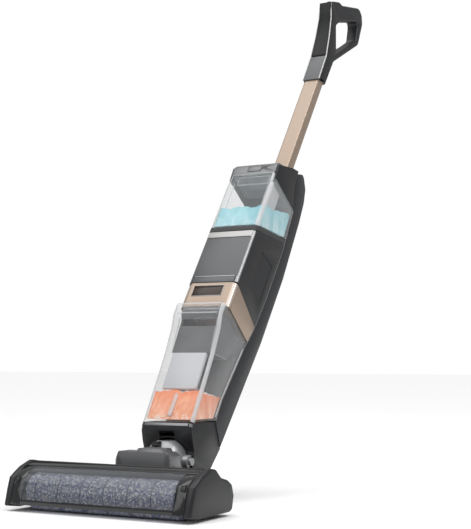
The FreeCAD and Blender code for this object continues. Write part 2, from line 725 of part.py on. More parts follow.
def body_parts():
    """Every part above the neck, upright about the recline pivot."""
    return {
        "base_box": base_box(),
        "spine_cover": spine_holes(spine_cover()),
        "inner_frame": inner_frame(),
        "motor_housing": motor_housing(),
        "front_panel": front_panel(),
        "silver_trim": silver_trim(),
        "exhaust_grilles": exhaust_grilles(),
        "suction_motor": suction_motor(),
        "fan_impeller": fan_impeller(),
        "battery_pack": battery_pack(),
        "control_board": control_board(),
        "water_pump": water_pump(),
        "dirty_duct": dirty_duct(),
        "tank_gasket": tank_gasket(),
        "top_cap": top_cap(),
        "tube_socket": tube_socket(),
        "charging_contacts": charging_contacts(),
        "body_screws": body_screws(),
        "tube_lock_button": tube_lock_button(),
        "clean_tank_shell": clean_tank_shell(),
        "clean_tank_lid": clean_tank_lid(),
        "filler_cap": filler_cap(),
        "clean_tank_button": clean_tank_button(),
        "dirty_tank_shell": dirty_tank_shell(),
        "tank_collar": tank_collar(),
        "tank_latch": tank_latch(),
        "filter_box": filter_box(),
        "filter_panel": filter_panel(),
        "handle_tube": handle_tube(),
        "left_handle_shell": handle_shell(-1),
        "right_handle_shell": handle_shell(1),
        "sleeve_panel": sleeve_panel(),
        "stem_cover": stem_cover(),
        "grip_pad": grip_pad(),
        "trigger": trigger(),
        "power_button": power_button(),
        "mode_button": mode_button(),
    }


def leaned(shape):
    """An upright shape leaned back and set on the recline pivot."""
    shape.rotate(V(0, 0, 0), AXIS_X, -LEAN_DEG)
    shape.translate(V(0, PIVOT_Y, PIVOT_Z))
    return shape


def main():
    """Builds every part, centres the machine on its box and writes the files."""
    parts = floor_parts()
    for name, shape in body_parts().items():
        parts[name] = leaned(shape)
    whole = Part.makeCompound(list(parts.values())).optimalBoundingBox(False)
    shift = V(0, -(whole.YMin + whole.YMax) / 2, -whole.ZMin)
    for name, shape in parts.items():
        shape.translate(shift)
        shape.exportStep(f"parts/{name}.step")
        if not shape.isValid() or not shape.Solids:
            print("CHECK", name, shape.isValid(), len(shape.Solids))
    print("parts", len(parts), "box", whole, "shift", shift)
    print("pivot", V(0, PIVOT_Y, PIVOT_Z) + shift)


main()
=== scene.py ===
"""Looks of the upright wet and dry floor scrubber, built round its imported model.

The head stands on the floor.  Everything above the neck is drawn upright about the recline
pivot, in millimetres, with x across, y towards the back and z up the machine, and is then
leaned back by the model's own axes.
"""

import json
import logging
import math
import random
from dataclasses import dataclass
from enum import Enum
from typing import Callable, Iterable, Optional, Sequence, Union

import bmesh
import bpy
from mathutils import Matrix, Vector
from mathutils.geometry import tessellate_polygon


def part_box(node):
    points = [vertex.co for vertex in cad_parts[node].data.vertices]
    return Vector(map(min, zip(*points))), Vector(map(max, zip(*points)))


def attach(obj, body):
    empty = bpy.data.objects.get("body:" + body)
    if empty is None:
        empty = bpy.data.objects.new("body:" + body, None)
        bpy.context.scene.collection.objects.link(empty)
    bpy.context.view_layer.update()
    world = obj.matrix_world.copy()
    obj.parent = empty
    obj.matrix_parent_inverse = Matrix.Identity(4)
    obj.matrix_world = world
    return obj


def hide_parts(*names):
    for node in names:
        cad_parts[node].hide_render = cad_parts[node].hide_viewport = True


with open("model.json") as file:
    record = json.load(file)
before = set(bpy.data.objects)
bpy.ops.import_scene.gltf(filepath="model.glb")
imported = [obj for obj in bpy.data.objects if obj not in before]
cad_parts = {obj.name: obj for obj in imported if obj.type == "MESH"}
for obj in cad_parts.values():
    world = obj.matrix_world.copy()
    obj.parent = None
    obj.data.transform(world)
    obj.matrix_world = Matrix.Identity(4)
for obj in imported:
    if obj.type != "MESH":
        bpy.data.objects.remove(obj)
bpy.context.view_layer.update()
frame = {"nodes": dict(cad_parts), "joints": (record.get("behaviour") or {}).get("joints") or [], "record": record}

LOG = logging.getLogger("scrubber")
MM = 0.001
Point = tuple[float, float]
Colour = tuple[float, float, float]


# ------------------------------------------------------------------ shader tools

class Sock:
    """A shader value that takes part in Python expressions by adding Math nodes."""

    def __init__(self, shader: "Shader", socket: bpy.types.NodeSocket) -> None:
        """Wraps an output socket of a shader's tree."""
        self.shader = shader
        self.socket = socket

    def _math(self, operation: str, *values: Union["Sock", float]) -> "Sock":
        """Adds a Math node and returns its result."""
        inputs = {i: v for i, v in enumerate(values)}
        return self.shader.node("ShaderNodeMath", {"operation": operation}, inputs)

    def __add__(self, other: Union["Sock", float]) -> "Sock":
        """Adds two values."""
        return self._math("ADD", self, other)

    def __sub__(self, other: Union["Sock", float]) -> "Sock":
        """Takes one value from another."""
        return self._math("SUBTRACT", self, other)

    def __rsub__(self, other: float) -> "Sock":
        """Takes this value from a number."""
        return self._math("SUBTRACT", other, self)

    def __mul__(self, other: Union["Sock", float]) -> "Sock":
        """Multiplies two values."""
        return self._math("MULTIPLY", self, other)

    def __pow__(self, other: Union["Sock", float]) -> "Sock":
        """Raises this value to a power."""
        return self._math("POWER", self, other)

    def __gt__(self, other: Union["Sock", float]) -> "Sock":
        """One where this value is greater, and nought elsewhere."""
        return self._math("GREATER_THAN", self, other)

    __radd__ = __add__
    __rmul__ = __mul__

    def clamp(self, low: float = 0.0, high: float = 1.0) -> "Sock":
        """Keeps the value between two limits."""
        return self._math("MINIMUM", self._math("MAXIMUM", self, low), high)


class Shader:
    """A material's node tree, built one node at a time."""

    def __init__(self, name: str) -> None:
        """Makes an empty material with a Principled shader."""
        self.material = bpy.data.materials.new(name)
        self.material.use_nodes = True
        self.tree = self.material.node_tree
        self.tree.nodes.clear()
        self.output = self.tree.nodes.new("ShaderNodeOutputMaterial")
        self.principled = self.tree.nodes.new("ShaderNodeBsdfPrincipled")
        self.tree.links.new(self.principled.outputs[0], self.output.inputs["Surface"])

    def node(self, kind: str, settings: Optional[dict] = None, inputs: Optional[dict] = None,
             output: Union[int, str] = 0) -> Sock:
        """Adds a node.

        Args:
            kind: the node's type.
            settings: its properties.
            inputs: values or links of its sockets, by name or number.
            output: which output to return.

        Returns:
            The chosen output, wrapped.
        """
        made = self.tree.nodes.new(kind)
        for key, value in (settings or {}).items():
            setattr(made, key, value)
        for key, value in (inputs or {}).items():
            self.feed(made.inputs[key], value)
        return Sock(self, made.outputs[output])

    def feed(self, socket: bpy.types.NodeSocket, value: object) -> None:
        """Links a wrapped socket, or sets a plain value."""
        if isinstance(value, Sock):
            self.tree.links.new(value.socket, socket)
        elif isinstance(value, tuple) and len(value) == 3 and socket.type == "RGBA":
            socket.default_value = (*value, 1.0)
        else:
            socket.default_value = value

    def principal(self, **values: object) -> None:
        """Sets or links inputs of the Principled shader, with spaces as underscores."""
        for key, value in values.items():
            self.feed(self.principled.inputs[key.replace("_", " ")], value)

    def position(self, turn: Sequence[float] = (0, 0, 0),
                 scale: Sequence[float] = (1, 1, 1)) -> Sock:
        """Object coordinates, turned and scaled by a Mapping node."""
        coords = self.node("ShaderNodeTexCoord", output="Object")
        return self.node("ShaderNodeMapping", {"vector_type": "POINT"},
                         {"Vector": coords, "Rotation": tuple(turn), "Scale": tuple(scale)})

    def noise(self, vector: Sock, scale: float, detail: float = 3.0,
              roughness: float = 0.5) -> Sock:
        """A noise value."""
        return self.node("ShaderNodeTexNoise", {},
                         {"Vector": vector, "Scale": scale, "Detail": detail,
                          "Roughness": roughness})

    def blend(self, amount: Union[Sock, float], first: object, second: object) -> Sock:
        """Mixes two colours."""
        return self.node("ShaderNodeMix", {"data_type": "RGBA"},
                         {"Factor": amount, 6: first, 7: second}, output=2)

    def bump(self, height: Sock, strength: float, distance: float) -> None:
        """Feeds a height into the shader's normal."""
        normal = self.node("ShaderNodeBump", {}, {"Height": height, "Strength": strength,
                                                  "Distance": distance})
        self.principal(Normal=normal)


# ------------------------------------------------------------------ finishes

LEAN_TURN = (math.radians(35.4), 0.0, 0.0)


@dataclass(frozen=True)
class Moulded:
    """A moulded plastic: fine spark-eroded grain, slight tone changes and a satin sheen."""

    name: str
    colour: Colour
    roughness: float = 0.42
    grain: float = 0.25
    grain_mm: float = 0.45
    coat: float = 0.0
    specular: float = 0.35

    def build(self) -> bpy.types.Material:
        """Returns the material."""
        shader = Shader(self.name)
        where = shader.position()
        broad = shader.noise(where, 9.0, 2.0)
        fine = shader.noise(where, 1.0 / (self.grain_mm * MM), 2.0)
        lighter = tuple(min(1.0, c * 1.22 + 0.004) for c in self.colour)
        darker = tuple(c * 0.86 for c in self.colour)
        shader.principal(Base_Color=shader.blend(broad, darker, lighter),
                         Specular_IOR_Level=self.specular,
                         Roughness=(broad * 0.10 + fine * 0.06 + (self.roughness - 0.08)).clamp(),
                         Coat_Weight=self.coat, Coat_Roughness=0.08)
        shader.bump(fine, self.grain, 0.00008)
        return shader.material


@dataclass(frozen=True)
class Anodised:
    """A metallic finish with a fine drawn grain along the machine."""

    name: str
    colour: Colour
    metallic: float = 0.55
    roughness: float = 0.34
    along_body: bool = True

    def build(self) -> bpy.types.Material:
        """Returns the material."""
        shader = Shader(self.name)
        turn = LEAN_TURN if self.along_body else (0, 0, 0)
        where = shader.position(turn, (1.0, 1.0, 0.012))
        drawn = shader.noise(where, 2600.0, 2.0)
        broad = shader.noise(shader.position(), 7.0, 2.0)
        light = tuple(min(1.0, c * 1.10) for c in self.colour)
        dark = tuple(c * 0.90 for c in self.colour)
        mixed = (drawn * 0.5 + broad * 0.5).clamp()
        shader.principal(Base_Color=shader.blend(mixed, dark, light), Metallic=self.metallic,
                         Roughness=(drawn * 0.12 + (self.roughness - 0.06)).clamp())
        shader.bump(drawn, 0.12, 0.00003)
        return shader.material


@dataclass(frozen=True)
class Clear:
    """A clear moulded wall: nearly nothing face on, brighter and denser at a glancing angle."""

    name: str
    tint: Colour
    rim: Colour = (0.80, 0.81, 0.82)
    face: float = 0.10
    edge: float = 0.62
    roughness: float = 0.06

    def build(self) -> bpy.types.Material:
        """Returns the material."""
        shader = Shader(self.name)
        where = shader.position()
        waves = shader.noise(where, 34.0, 2.0)
        rim = shader.node("ShaderNodeLayerWeight", {}, {"Blend": 0.35}, "Facing")
        alpha = ((rim ** 2.2) * (self.edge - self.face) + self.face + waves * 0.03).clamp()
        shader.principal(Base_Color=shader.blend(rim ** 2.0, self.tint, self.rim),
                         Roughness=(waves * 0.04 + self.roughness).clamp(), Alpha=alpha,
                         IOR=1.49, Specular_IOR_Level=0.75)
        shader.bump(waves, 0.05, 0.0006)
        return shader.material


@dataclass(frozen=True)
class Liquid:
    """Standing water, tinted, with painted streaks and patches of light, stronger towards the bottom, a faint
    painted glow, and small bubbles in it.
    """

    name: str
    deep: Colour
    bright: Colour
    low: float
    high: float
    alpha: float = 0.72
    streaks: float = 60.0

    def build(self) -> bpy.types.Material:
        """Returns the material."""
        shader = Shader(self.name)
        where = shader.position(LEAN_TURN, (1.0, 1.0, 0.35))
        bent = shader.noise(where, self.streaks, 4.0, 0.62)
        patches = shader.noise(where, self.streaks * 0.32, 2.0)
        streak = ((bent - 0.42) * 3.2).clamp()
        cell = shader.node("ShaderNodeTexVoronoi", {"feature": "F1"},
                           {"Vector": shader.position(), "Scale": 420.0}, "Distance")
        bubble = 1.0 - (cell * 5.0).clamp()
        height = shader.node("ShaderNodeSeparateXYZ", {}, {"Vector": shader.position()}, "Z")
        sunk = 1.0 - ((height - self.low) * (1.0 / (self.high - self.low))).clamp()
        # Painted light: pale streaks and patches in the water, stronger towards the bottom.
        pale = (streak * 0.9 + patches * 0.55) * (sunk * 1.15 + 0.15)
        mixed = shader.blend(pale.clamp(), self.deep, self.bright)
        colour = shader.blend((bubble * (patches > 0.52) * 0.8).clamp(), mixed, (0.97, 0.98, 0.98))
        # Painted glow: the water gives off a little light in its own colour.
        shader.principal(Base_Color=colour, Roughness=0.07, Emission_Color=colour,
                         Emission_Strength=0.16,
                         Alpha=(self.alpha + streak * 0.12).clamp(), IOR=1.33)
        shader.bump(bent, 0.35, 0.0020)
        return shader.material


@dataclass(frozen=True)
class Microfibre:
    """Looped microfibre pile, flecked with white, grey and deep blue yarns."""

    name: str = "microfibre_pile"
    ground: Colour = (0.26, 0.29, 0.385)
    white: Colour = (0.95, 0.96, 0.98)
    blue: Colour = (0.028, 0.055, 0.30)
    fleck_scale: float = 640.0

    def build(self) -> bpy.types.Material:
        """Returns the material."""
        shader = Shader(self.name)
        where = shader.position((0, 0, 0), (1.0, 1.0, 1.0))
        cell = shader.node("ShaderNodeTexVoronoi", {"feature": "F1"},
                           {"Vector": where, "Scale": self.fleck_scale, "Randomness": 1.0}, "Color")
        pick = shader.node("ShaderNodeSeparateColor", {}, {"Color": cell}, 0)
        second = shader.node("ShaderNodeSeparateColor", {}, {"Color": cell}, 1)
        clumps = shader.noise(where, 70.0, 3.0)
        pale = shader.blend(((pick + clumps * 0.4) > 0.92) * 0.9, self.ground, self.white)
        flecked = shader.blend(((second + clumps * 0.5) > 0.96) * 0.9, pale, self.blue)
        fine = shader.noise(where, 1500.0, 2.0)
        shaded = shader.blend((fine * 0.35).clamp(), flecked, (0.12, 0.13, 0.18))
        shader.principal(Base_Color=shaded, Roughness=0.95, Sheen_Weight=0.35,
                         Sheen_Roughness=0.5)
        shader.bump(fine + pick * 1.5, 0.9, 0.0006)
        return shader.material


@dataclass(frozen=True)
class SoftRubber:
    """Matt rubber with a faint bloom."""

    name: str
    colour: Colour = (0.022, 0.022, 0.024)

    def build(self) -> bpy.types.Material:
        """Returns the material."""
        shader = Shader(self.name)
        where = shader.position()
        bloom = shader.noise(where, 60.0, 4.0)
        fine = shader.noise(where, 2200.0, 2.0)
        pale = tuple(c + 0.02 for c in self.colour)
        shader.principal(Base_Color=shader.blend(bloom, self.colour, pale),
                         Roughness=(bloom * 0.15 + 0.62).clamp())
        shader.bump(fine, 0.3, 0.0001)
        return shader.material


@dataclass(frozen=True)
class Board:
    """A printed circuit board with fine tracks."""

    name: str = "circuit_board"

    def build(self) -> bpy.types.Material:
        """Returns the material."""
        shader = Shader(self.name)
        where = shader.position(LEAN_TURN)
        tracks = shader.node("ShaderNodeTexBrick", {},
                             {"Vector": where, "Color1": (0.01, 0.11, 0.045),
                              "Color2": (0.012, 0.13, 0.05), "Mortar": (0.05, 0.30, 0.12),
                              "Scale": 160.0, "Mortar Size": 0.012})
        shader.principal(Base_Color=tracks, Roughness=0.32, Coat_Weight=0.4)
        return shader.material


class Finish(Enum):
    """Every finish of the machine."""

    SHELL = Moulded("dark_shell", (0.0115, 0.012, 0.0135), 0.38, 0.22)
    SPINE = Moulded("spine_shell", (0.019, 0.020, 0.022), 0.34, 0.18, 0.5, 0.1)
    GLOSS = Moulded("dark_gloss", (0.009, 0.0095, 0.0105), 0.20, 0.04, 0.8, 0.4)
    GRAINED = Moulded("stem_grain", (0.008, 0.0085, 0.0095), 0.34, 0.5, 0.6, 0.0, 0.2)
    INNER = Moulded("inner_plastic", (0.045, 0.046, 0.050), 0.55, 0.3, 0.6)
    SATIN = Anodised("satin_grey", (0.080, 0.082, 0.086), 0.35, 0.36)
    LID = Anodised("lid_grey", (0.155, 0.158, 0.163), 0.30, 0.34)
    SILVER = Anodised("pale_trim", (0.36, 0.355, 0.35), 0.45, 0.34)
    NECK = Anodised("neck_silver", (0.27, 0.275, 0.285), 0.45, 0.33, False)
    CHAMPAGNE = Anodised("champagne", (0.325, 0.248, 0.192), 0.46, 0.36)
    # Lighter champagne for the painted highlights up the collar's front corners.
    CHAMPAGNE_HIGHLIGHT = Anodised("champagne_corner_highlight", (0.50, 0.44, 0.39), 0.55, 0.30)
    STEEL = Anodised("bright_steel", (0.62, 0.62, 0.63), 0.95, 0.24, False)
    MOTOR = Anodised("motor_metal", (0.42, 0.43, 0.45), 0.85, 0.38, False)
    BRASS = Anodised("contact_brass", (0.72, 0.52, 0.22), 0.95, 0.25, False)
    WINDOW = Clear("roller_window", (0.10, 0.105, 0.115), (0.30, 0.31, 0.33), 0.26, 0.70, 0.06)
    TANK = Clear("clear_tank", (0.42, 0.43, 0.44), (0.85, 0.86, 0.87), 0.07, 0.58, 0.05)
    # Denser clear plastic for the ribs in the tanks, and for the painted highlights up the tanks' corners and rear
    # side edges.
    EDGE = Clear("clear_ribs_and_highlights", (0.62, 0.63, 0.64), (0.90, 0.90, 0.91), 0.50, 0.80, 0.08)
    # Lighter grey for the painted highlights up the motor housing's front corners.
    GREY_HIGHLIGHT = Anodised("grey_corner_highlight", (0.26, 0.262, 0.268), 0.70, 0.36)
    # Mid grey for the neck block, and for the painted highlights and the lighter painted band on the base.
    DULL = Anodised("dull_corner", (0.17, 0.172, 0.178), 0.60, 0.34)
    WATER = Liquid("clean_water", (0.22, 0.62, 0.70), (0.74, 0.90, 0.92), 0.38, 0.425, 0.60, 62.0)
    DIRTY = Liquid("dirty_water", (0.84, 0.20, 0.035), (0.97, 0.70, 0.50), 0.100, 0.150, 0.72, 70.0)
    FOAM = Moulded("foam", (0.86, 0.80, 0.76), 0.35, 0.5, 0.5)
    PILE = Microfibre()
    # Dark blue for the sewn bands: partly the seams' own colour, partly painted shade of the grooves in the pile.
    BAND = Moulded("sewn_band", (0.055, 0.070, 0.135), 0.85, 0.8, 0.5)
    RUBBER = SoftRubber("black_rubber")
    TYRE = SoftRubber("soft_tyre", (0.035, 0.035, 0.038))
    PALE = Moulded("pale_plastic", (0.50, 0.51, 0.53), 0.34, 0.1)
    FILTER = Moulded("filter_grey", (0.075, 0.078, 0.084), 0.45, 0.25)
    TINTED = Moulded("tinted_latch", (0.028, 0.017, 0.010), 0.30, 0.03, 0.8, 0.1, 0.25)
    SLEEVE = Moulded("cell_sleeve", (0.02, 0.06, 0.20), 0.22, 0.05, 0.8, 0.5)
    BOARD = Board()

    def material(self) -> bpy.types.Material:
        """The finish's material, made once."""
        if self not in _MATERIALS:
            _MATERIALS[self] = self.value.build()
        return _MATERIALS[self]


_MATERIALS: dict[Finish, bpy.types.Material] = {}


# ------------------------------------------------------------------ mesh tools

@dataclass(frozen=True)
class Corner:
    """A corner of a side outline: its place, its rounding, and the rounding of its rim."""

    y: float
    z: float
    turn: float = 1.0
    rim: float = 1.0


def corners(points: Iterable[Point], turn: float = 1.0, rim: float = 1.0) -> list[Corner]:
    """Corners that share one rounding and one rim."""
    return [Corner(y, z, turn, rim) for y, z in points]


def body_matrix() -> Matrix:
    """The matrix from upright millimetres about the pivot to the leaned model, in metres."""
    joints = {j["name"]: j for j in frame["joints"]}
    up = Vector(joints["handle_pull_out"]["axis"]).normalized()
    across = Vector((1, 0, 0))
    back = up.cross(across)
    turn = Matrix((across, back, up)).transposed().to_4x4()
    return Matrix.Translation(Vector(joints["recline"]["pos_m"])) @ turn @ Matrix.Scale(MM, 4)


def head_matrix() -> Matrix:
    """The matrix from head millimetres, with y from the head's front, to the model, in metres."""
    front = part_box("left_side_cap")[0].y + 1.0 * MM
    return Matrix.Translation(Vector((0, front, 0))) @ Matrix.Scale(MM, 4)


def rounded_loop(outline: Sequence[Corner], steps: int = 5) -> list[tuple[Vector, float]]:
    """The outline with each corner turned by an arc.

    Args:
        outline: the corners in order.
        steps: pieces in each arc.

    Returns:
        Points as (place, rim rounding), in order.
    """
    loop = []
    count = len(outline)
    for i, corner in enumerate(outline):
        here = Vector((corner.y, corner.z))
        before = Vector((outline[i - 1].y, outline[i - 1].z)) - here
        after = Vector((outline[(i + 1) % count].y, outline[(i + 1) % count].z)) - here
        half = before.angle(after) / 2
        reach = min(corner.turn / math.tan(half), 0.45 * before.length, 0.45 * after.length)
        start = here + before.normalized() * reach
        end = here + after.normalized() * reach
        if reach < 0.05 or half > math.radians(88):
            loop.append((here, corner.rim))
            continue
        for k in range(steps + 1):
            t = k / steps
            place = start * (1 - t) ** 2 + here * (2 * t * (1 - t)) + end * t ** 2
            loop.append((place, corner.rim))
    return loop


def inward(loop: Sequence[tuple[Vector, float]], hole: bool) -> list[Vector]:
    """Unit vectors that point into the material at each point of a loop."""
    area = sum(a[0].x * b[0].y - b[0].x * a[0].y for a, b in zip(loop, list(loop[1:]) + [loop[0]]))
    sign = (1 if area > 0 else -1) * (-1 if hole else 1)
    result = []
    for i, (here, _) in enumerate(loop):
        first = (here - loop[i - 1][0]).normalized()
        second = (loop[(i + 1) % len(loop)][0] - here).normalized()
        bend = Vector((-(first.y + second.y), first.x + second.x)).normalized() * sign
        grow = 1.0 / max(0.5, bend.dot(Vector((-second.y, second.x)) * sign))
        result.append(bend * grow)
    return result


def join_rings(bm: bmesh.types.BMesh, rings: Sequence[Sequence[bmesh.types.BMVert]],
               closed: bool = True) -> None:
    """Adds the walls between rings of equal length.

    Args:
        bm: the mesh to add to.
        rings: the rings in order.
        closed: whether each ring's last point meets its first.
    """
    for a, b in zip(rings, rings[1:]):
        for i in range(len(a) if closed else len(a) - 1):
            j = (i + 1) % len(a)
            bm.faces.new((a[i], a[j], b[j], b[i]))


def loft(bm: bmesh.types.BMesh, rings: Sequence[Sequence[bmesh.types.BMVert]]) -> None:
    """Adds the walls between closed rings, and a face at each end."""
    join_rings(bm, rings)
    bm.faces.new(rings[0])
    bm.faces.new(rings[-1][::-1])


def add_prism(bm: bmesh.types.BMesh, loops: Sequence[Sequence[tuple[Vector, float]]],
              low: Callable[[Vector], float], high: Callable[[Vector], float],
              soft_low: bool = True, soft_high: bool = True, steps: int = 4) -> None:
    """Adds a prism whose rims are rounded.

    Args:
        bm: the mesh to add to.
        loops: the outer loop, then any holes.
        low: the x of the low face at a point.
        high: the x of the high face at a point.
        soft_low: whether the low rim is rounded.
        soft_high: whether the high rim is rounded.
        steps: pieces in each rounding.
    """
    end_rings: list[list[list[bmesh.types.BMVert]]] = [[], []]
    for number, loop in enumerate(loops):
        normals = inward(loop, number > 0)
        rings = []
        for end, soft in ((0, soft_low), (1, soft_high)):
            stages = range(steps + 1) if soft else [0]
            side = []
            for k in stages:
                angle = math.pi / 2 * k / steps
                ring = []
                for (place, rim), normal in zip(loop, normals):
                    rim = rim if soft else 0.0
                    moved = place + normal * (rim * (1 - math.cos(angle)))
                    depth = rim * (1 - math.sin(angle))
                    edge = low(place) + depth if end == 0 else high(place) - depth
                    ring.append(bm.verts.new((edge, moved.x, moved.y)))
                side.append(ring)
            rings.append(side)
        chain = rings[0][::-1] + rings[1]
        join_rings(bm, chain)
        end_rings[0].append(chain[0])
        end_rings[1].append(chain[-1])
    for rings in end_rings:
        flat = [[Vector((v.co.y, v.co.z, 0)) for v in ring] for ring in rings]
        verts = [v for ring in rings for v in ring]
        for a, b, c in tessellate_polygon(flat):
            if len({a, b, c}) == 3:
                bm.faces.new((verts[a], verts[b], verts[c]))


def block(bm: bmesh.types.BMesh, low: Sequence[float], high: Sequence[float],
          soft: float = 0.6) -> None:
    """Adds a block with softened edges."""
    made = bmesh.ops.create_cube(bm, size=1.0)
    size = [b - a for a, b in zip(low, high)]
    middle = [(a + b) / 2 for a, b in zip(low, high)]
    bmesh.ops.scale(bm, vec=size, verts=made["verts"])
    bmesh.ops.translate(bm, vec=middle, verts=made["verts"])
    edges = {e for v in made["verts"] for e in v.link_edges}
    bmesh.ops.bevel(bm, geom=list(edges), offset=min(soft, min(size) * 0.45), segments=2,
                    profile=0.5, affect="EDGES")


def turned(profile: Sequence[Point], centre: Sequence[float], axis: str = "X",
           steps: int = 64, bm: Optional[bmesh.types.BMesh] = None) -> bmesh.types.BMesh:
    """A turned shape.

    Args:
        profile: (distance along the axis, radius) points; a radius of nought closes an end.
        centre: the point that distances count from.
        axis: the axis's letter.
        steps: pieces round the axis.
        bm: a mesh to add to.

    Returns:
        The mesh.
    """
    bm = bm or bmesh.new()
    rings = []
    for along, radius in profile:
        count = 1 if radius < 1e-6 else steps
        ring = []
        for k in range(count):
            angle = 2 * math.pi * k / steps
            a, b = radius * math.cos(angle), radius * math.sin(angle)
            spot = {"X": (along, a, b), "Y": (b, along, a), "Z": (a, b, along)}[axis]
            ring.append(bm.verts.new([c + s for c, s in zip(centre, spot)]))
        rings.append(ring)
    for a, b in zip(rings, rings[1:]):
        for k in range(steps):
            j = (k + 1) % steps
            if len(a) == 1 and len(b) > 1:
                bm.faces.new((a[0], b[j], b[k]))
            elif len(b) == 1 and len(a) > 1:
                bm.faces.new((a[k], a[j], b[0]))
            elif len(a) > 1:
                bm.faces.new((a[k], a[j], b[j], b[k]))
    return bm


def stand(name: str, data: bpy.types.ID) -> bpy.types.Object:
    """Makes an object of a mesh, light or camera and puts it in the scene."""
    made = bpy.data.objects.new(name, data)
    bpy.context.scene.collection.objects.link(made)
    return made


def piece(name: str, bm: bmesh.types.BMesh, matrix: Matrix, finish: Finish,
          smooth_deg: float = 32.0, reface: bool = True) -> bpy.types.Object:
    """Turns a mesh in millimetres into a finished object.

    Args:
        name: the piece's name.
        bm: its mesh.
        matrix: from millimetres to the model.
        finish: what it is made of.
        smooth_deg: edges sharper than this stay sharp.
        reface: turns every face outwards; off for a hollow shell that already faces right.

    Returns:
        The object, at the origin.
    """
    bmesh.ops.remove_doubles(bm, verts=bm.verts, dist=0.001)
    if reface:
        bmesh.ops.recalc_face_normals(bm, faces=bm.faces)
    bmesh.ops.transform(bm, matrix=matrix, verts=bm.verts)
    for edge in bm.edges:
        sharp = len(edge.link_faces) != 2 or edge.calc_face_angle(0) > math.radians(smooth_deg)
        edge.smooth = not sharp
    for face in bm.faces:
        face.smooth = True
    mesh = bpy.data.meshes.new(name)
    bm.to_mesh(mesh)
    bm.free()
    mesh.materials.append(finish.material())
    return stand(name, mesh)


def softened(node: str, name: str, finish: Finish, width: float = 0.8,
             longest: float = 3.0) -> bpy.types.Object:
    """A copy of a model part with its long edges rounded.

    Args:
        node: the part.
        name: the new piece's name.
        finish: what it is made of.
        width: the rounding, in millimetres.
        longest: edges shorter than this stay as they are, in millimetres.

    Returns:
        The object.
    """
    bm = bmesh.new()
    bm.from_mesh(frame["nodes"][node].data)
    bmesh.ops.scale(bm, vec=(1000, 1000, 1000), verts=bm.verts)
    bmesh.ops.remove_doubles(bm, verts=bm.verts, dist=0.01)
    bmesh.ops.dissolve_limit(bm, angle_limit=math.radians(1.0), verts=bm.verts, edges=bm.edges)
    sharp = [e for e in bm.edges if len(e.link_faces) == 2
             and e.calc_face_angle(0) > math.radians(28) and e.calc_length() > longest]
    bmesh.ops.bevel(bm, geom=sharp, offset=width, segments=2, profile=0.5,
                    affect="EDGES", clamp_overlap=True)
    bmesh.ops.triangulate(bm, faces=[f for f in bm.faces if len(f.verts) > 4])
    return piece(name, bm, Matrix.Scale(MM, 4), finish, reface=False)


def fit(made: bpy.types.Object, body: str, slot: str, *nodes: str) -> bpy.types.Object:
    """Makes a piece ride on a body and stand for model parts."""
    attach(made, body)
    if nodes:
        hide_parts(*nodes)
    LOG.info("made %s on %s", made.name, body)
    return made


def slot_of(node: str) -> str:
    """The record's material slot of a model part."""
    slots = {part["node"]: part["material_slot"] for part in frame["record"]["subparts"]}
    return slots[node]


def reskin(node: str, name: str, finish: Finish, body: str, width: float = 0.8,
           longest: float = 3.0) -> bpy.types.Object:
    """Replaces a model part by its softened copy, on the same body."""
    return fit(softened(node, name, finish, width, longest), body, slot_of(node), node)


def dress(finish: Finish, *nodes: str) -> None:
    """Gives model parts that keep their shape a better finish."""
    for node in nodes:
        mesh = frame["nodes"][node].data
        for i in range(len(mesh.materials)):
            mesh.materials[i] = finish.material()
        LOG.info("dressed %s", node)


# ------------------------------------------------------------------ repeats by Geometry Nodes

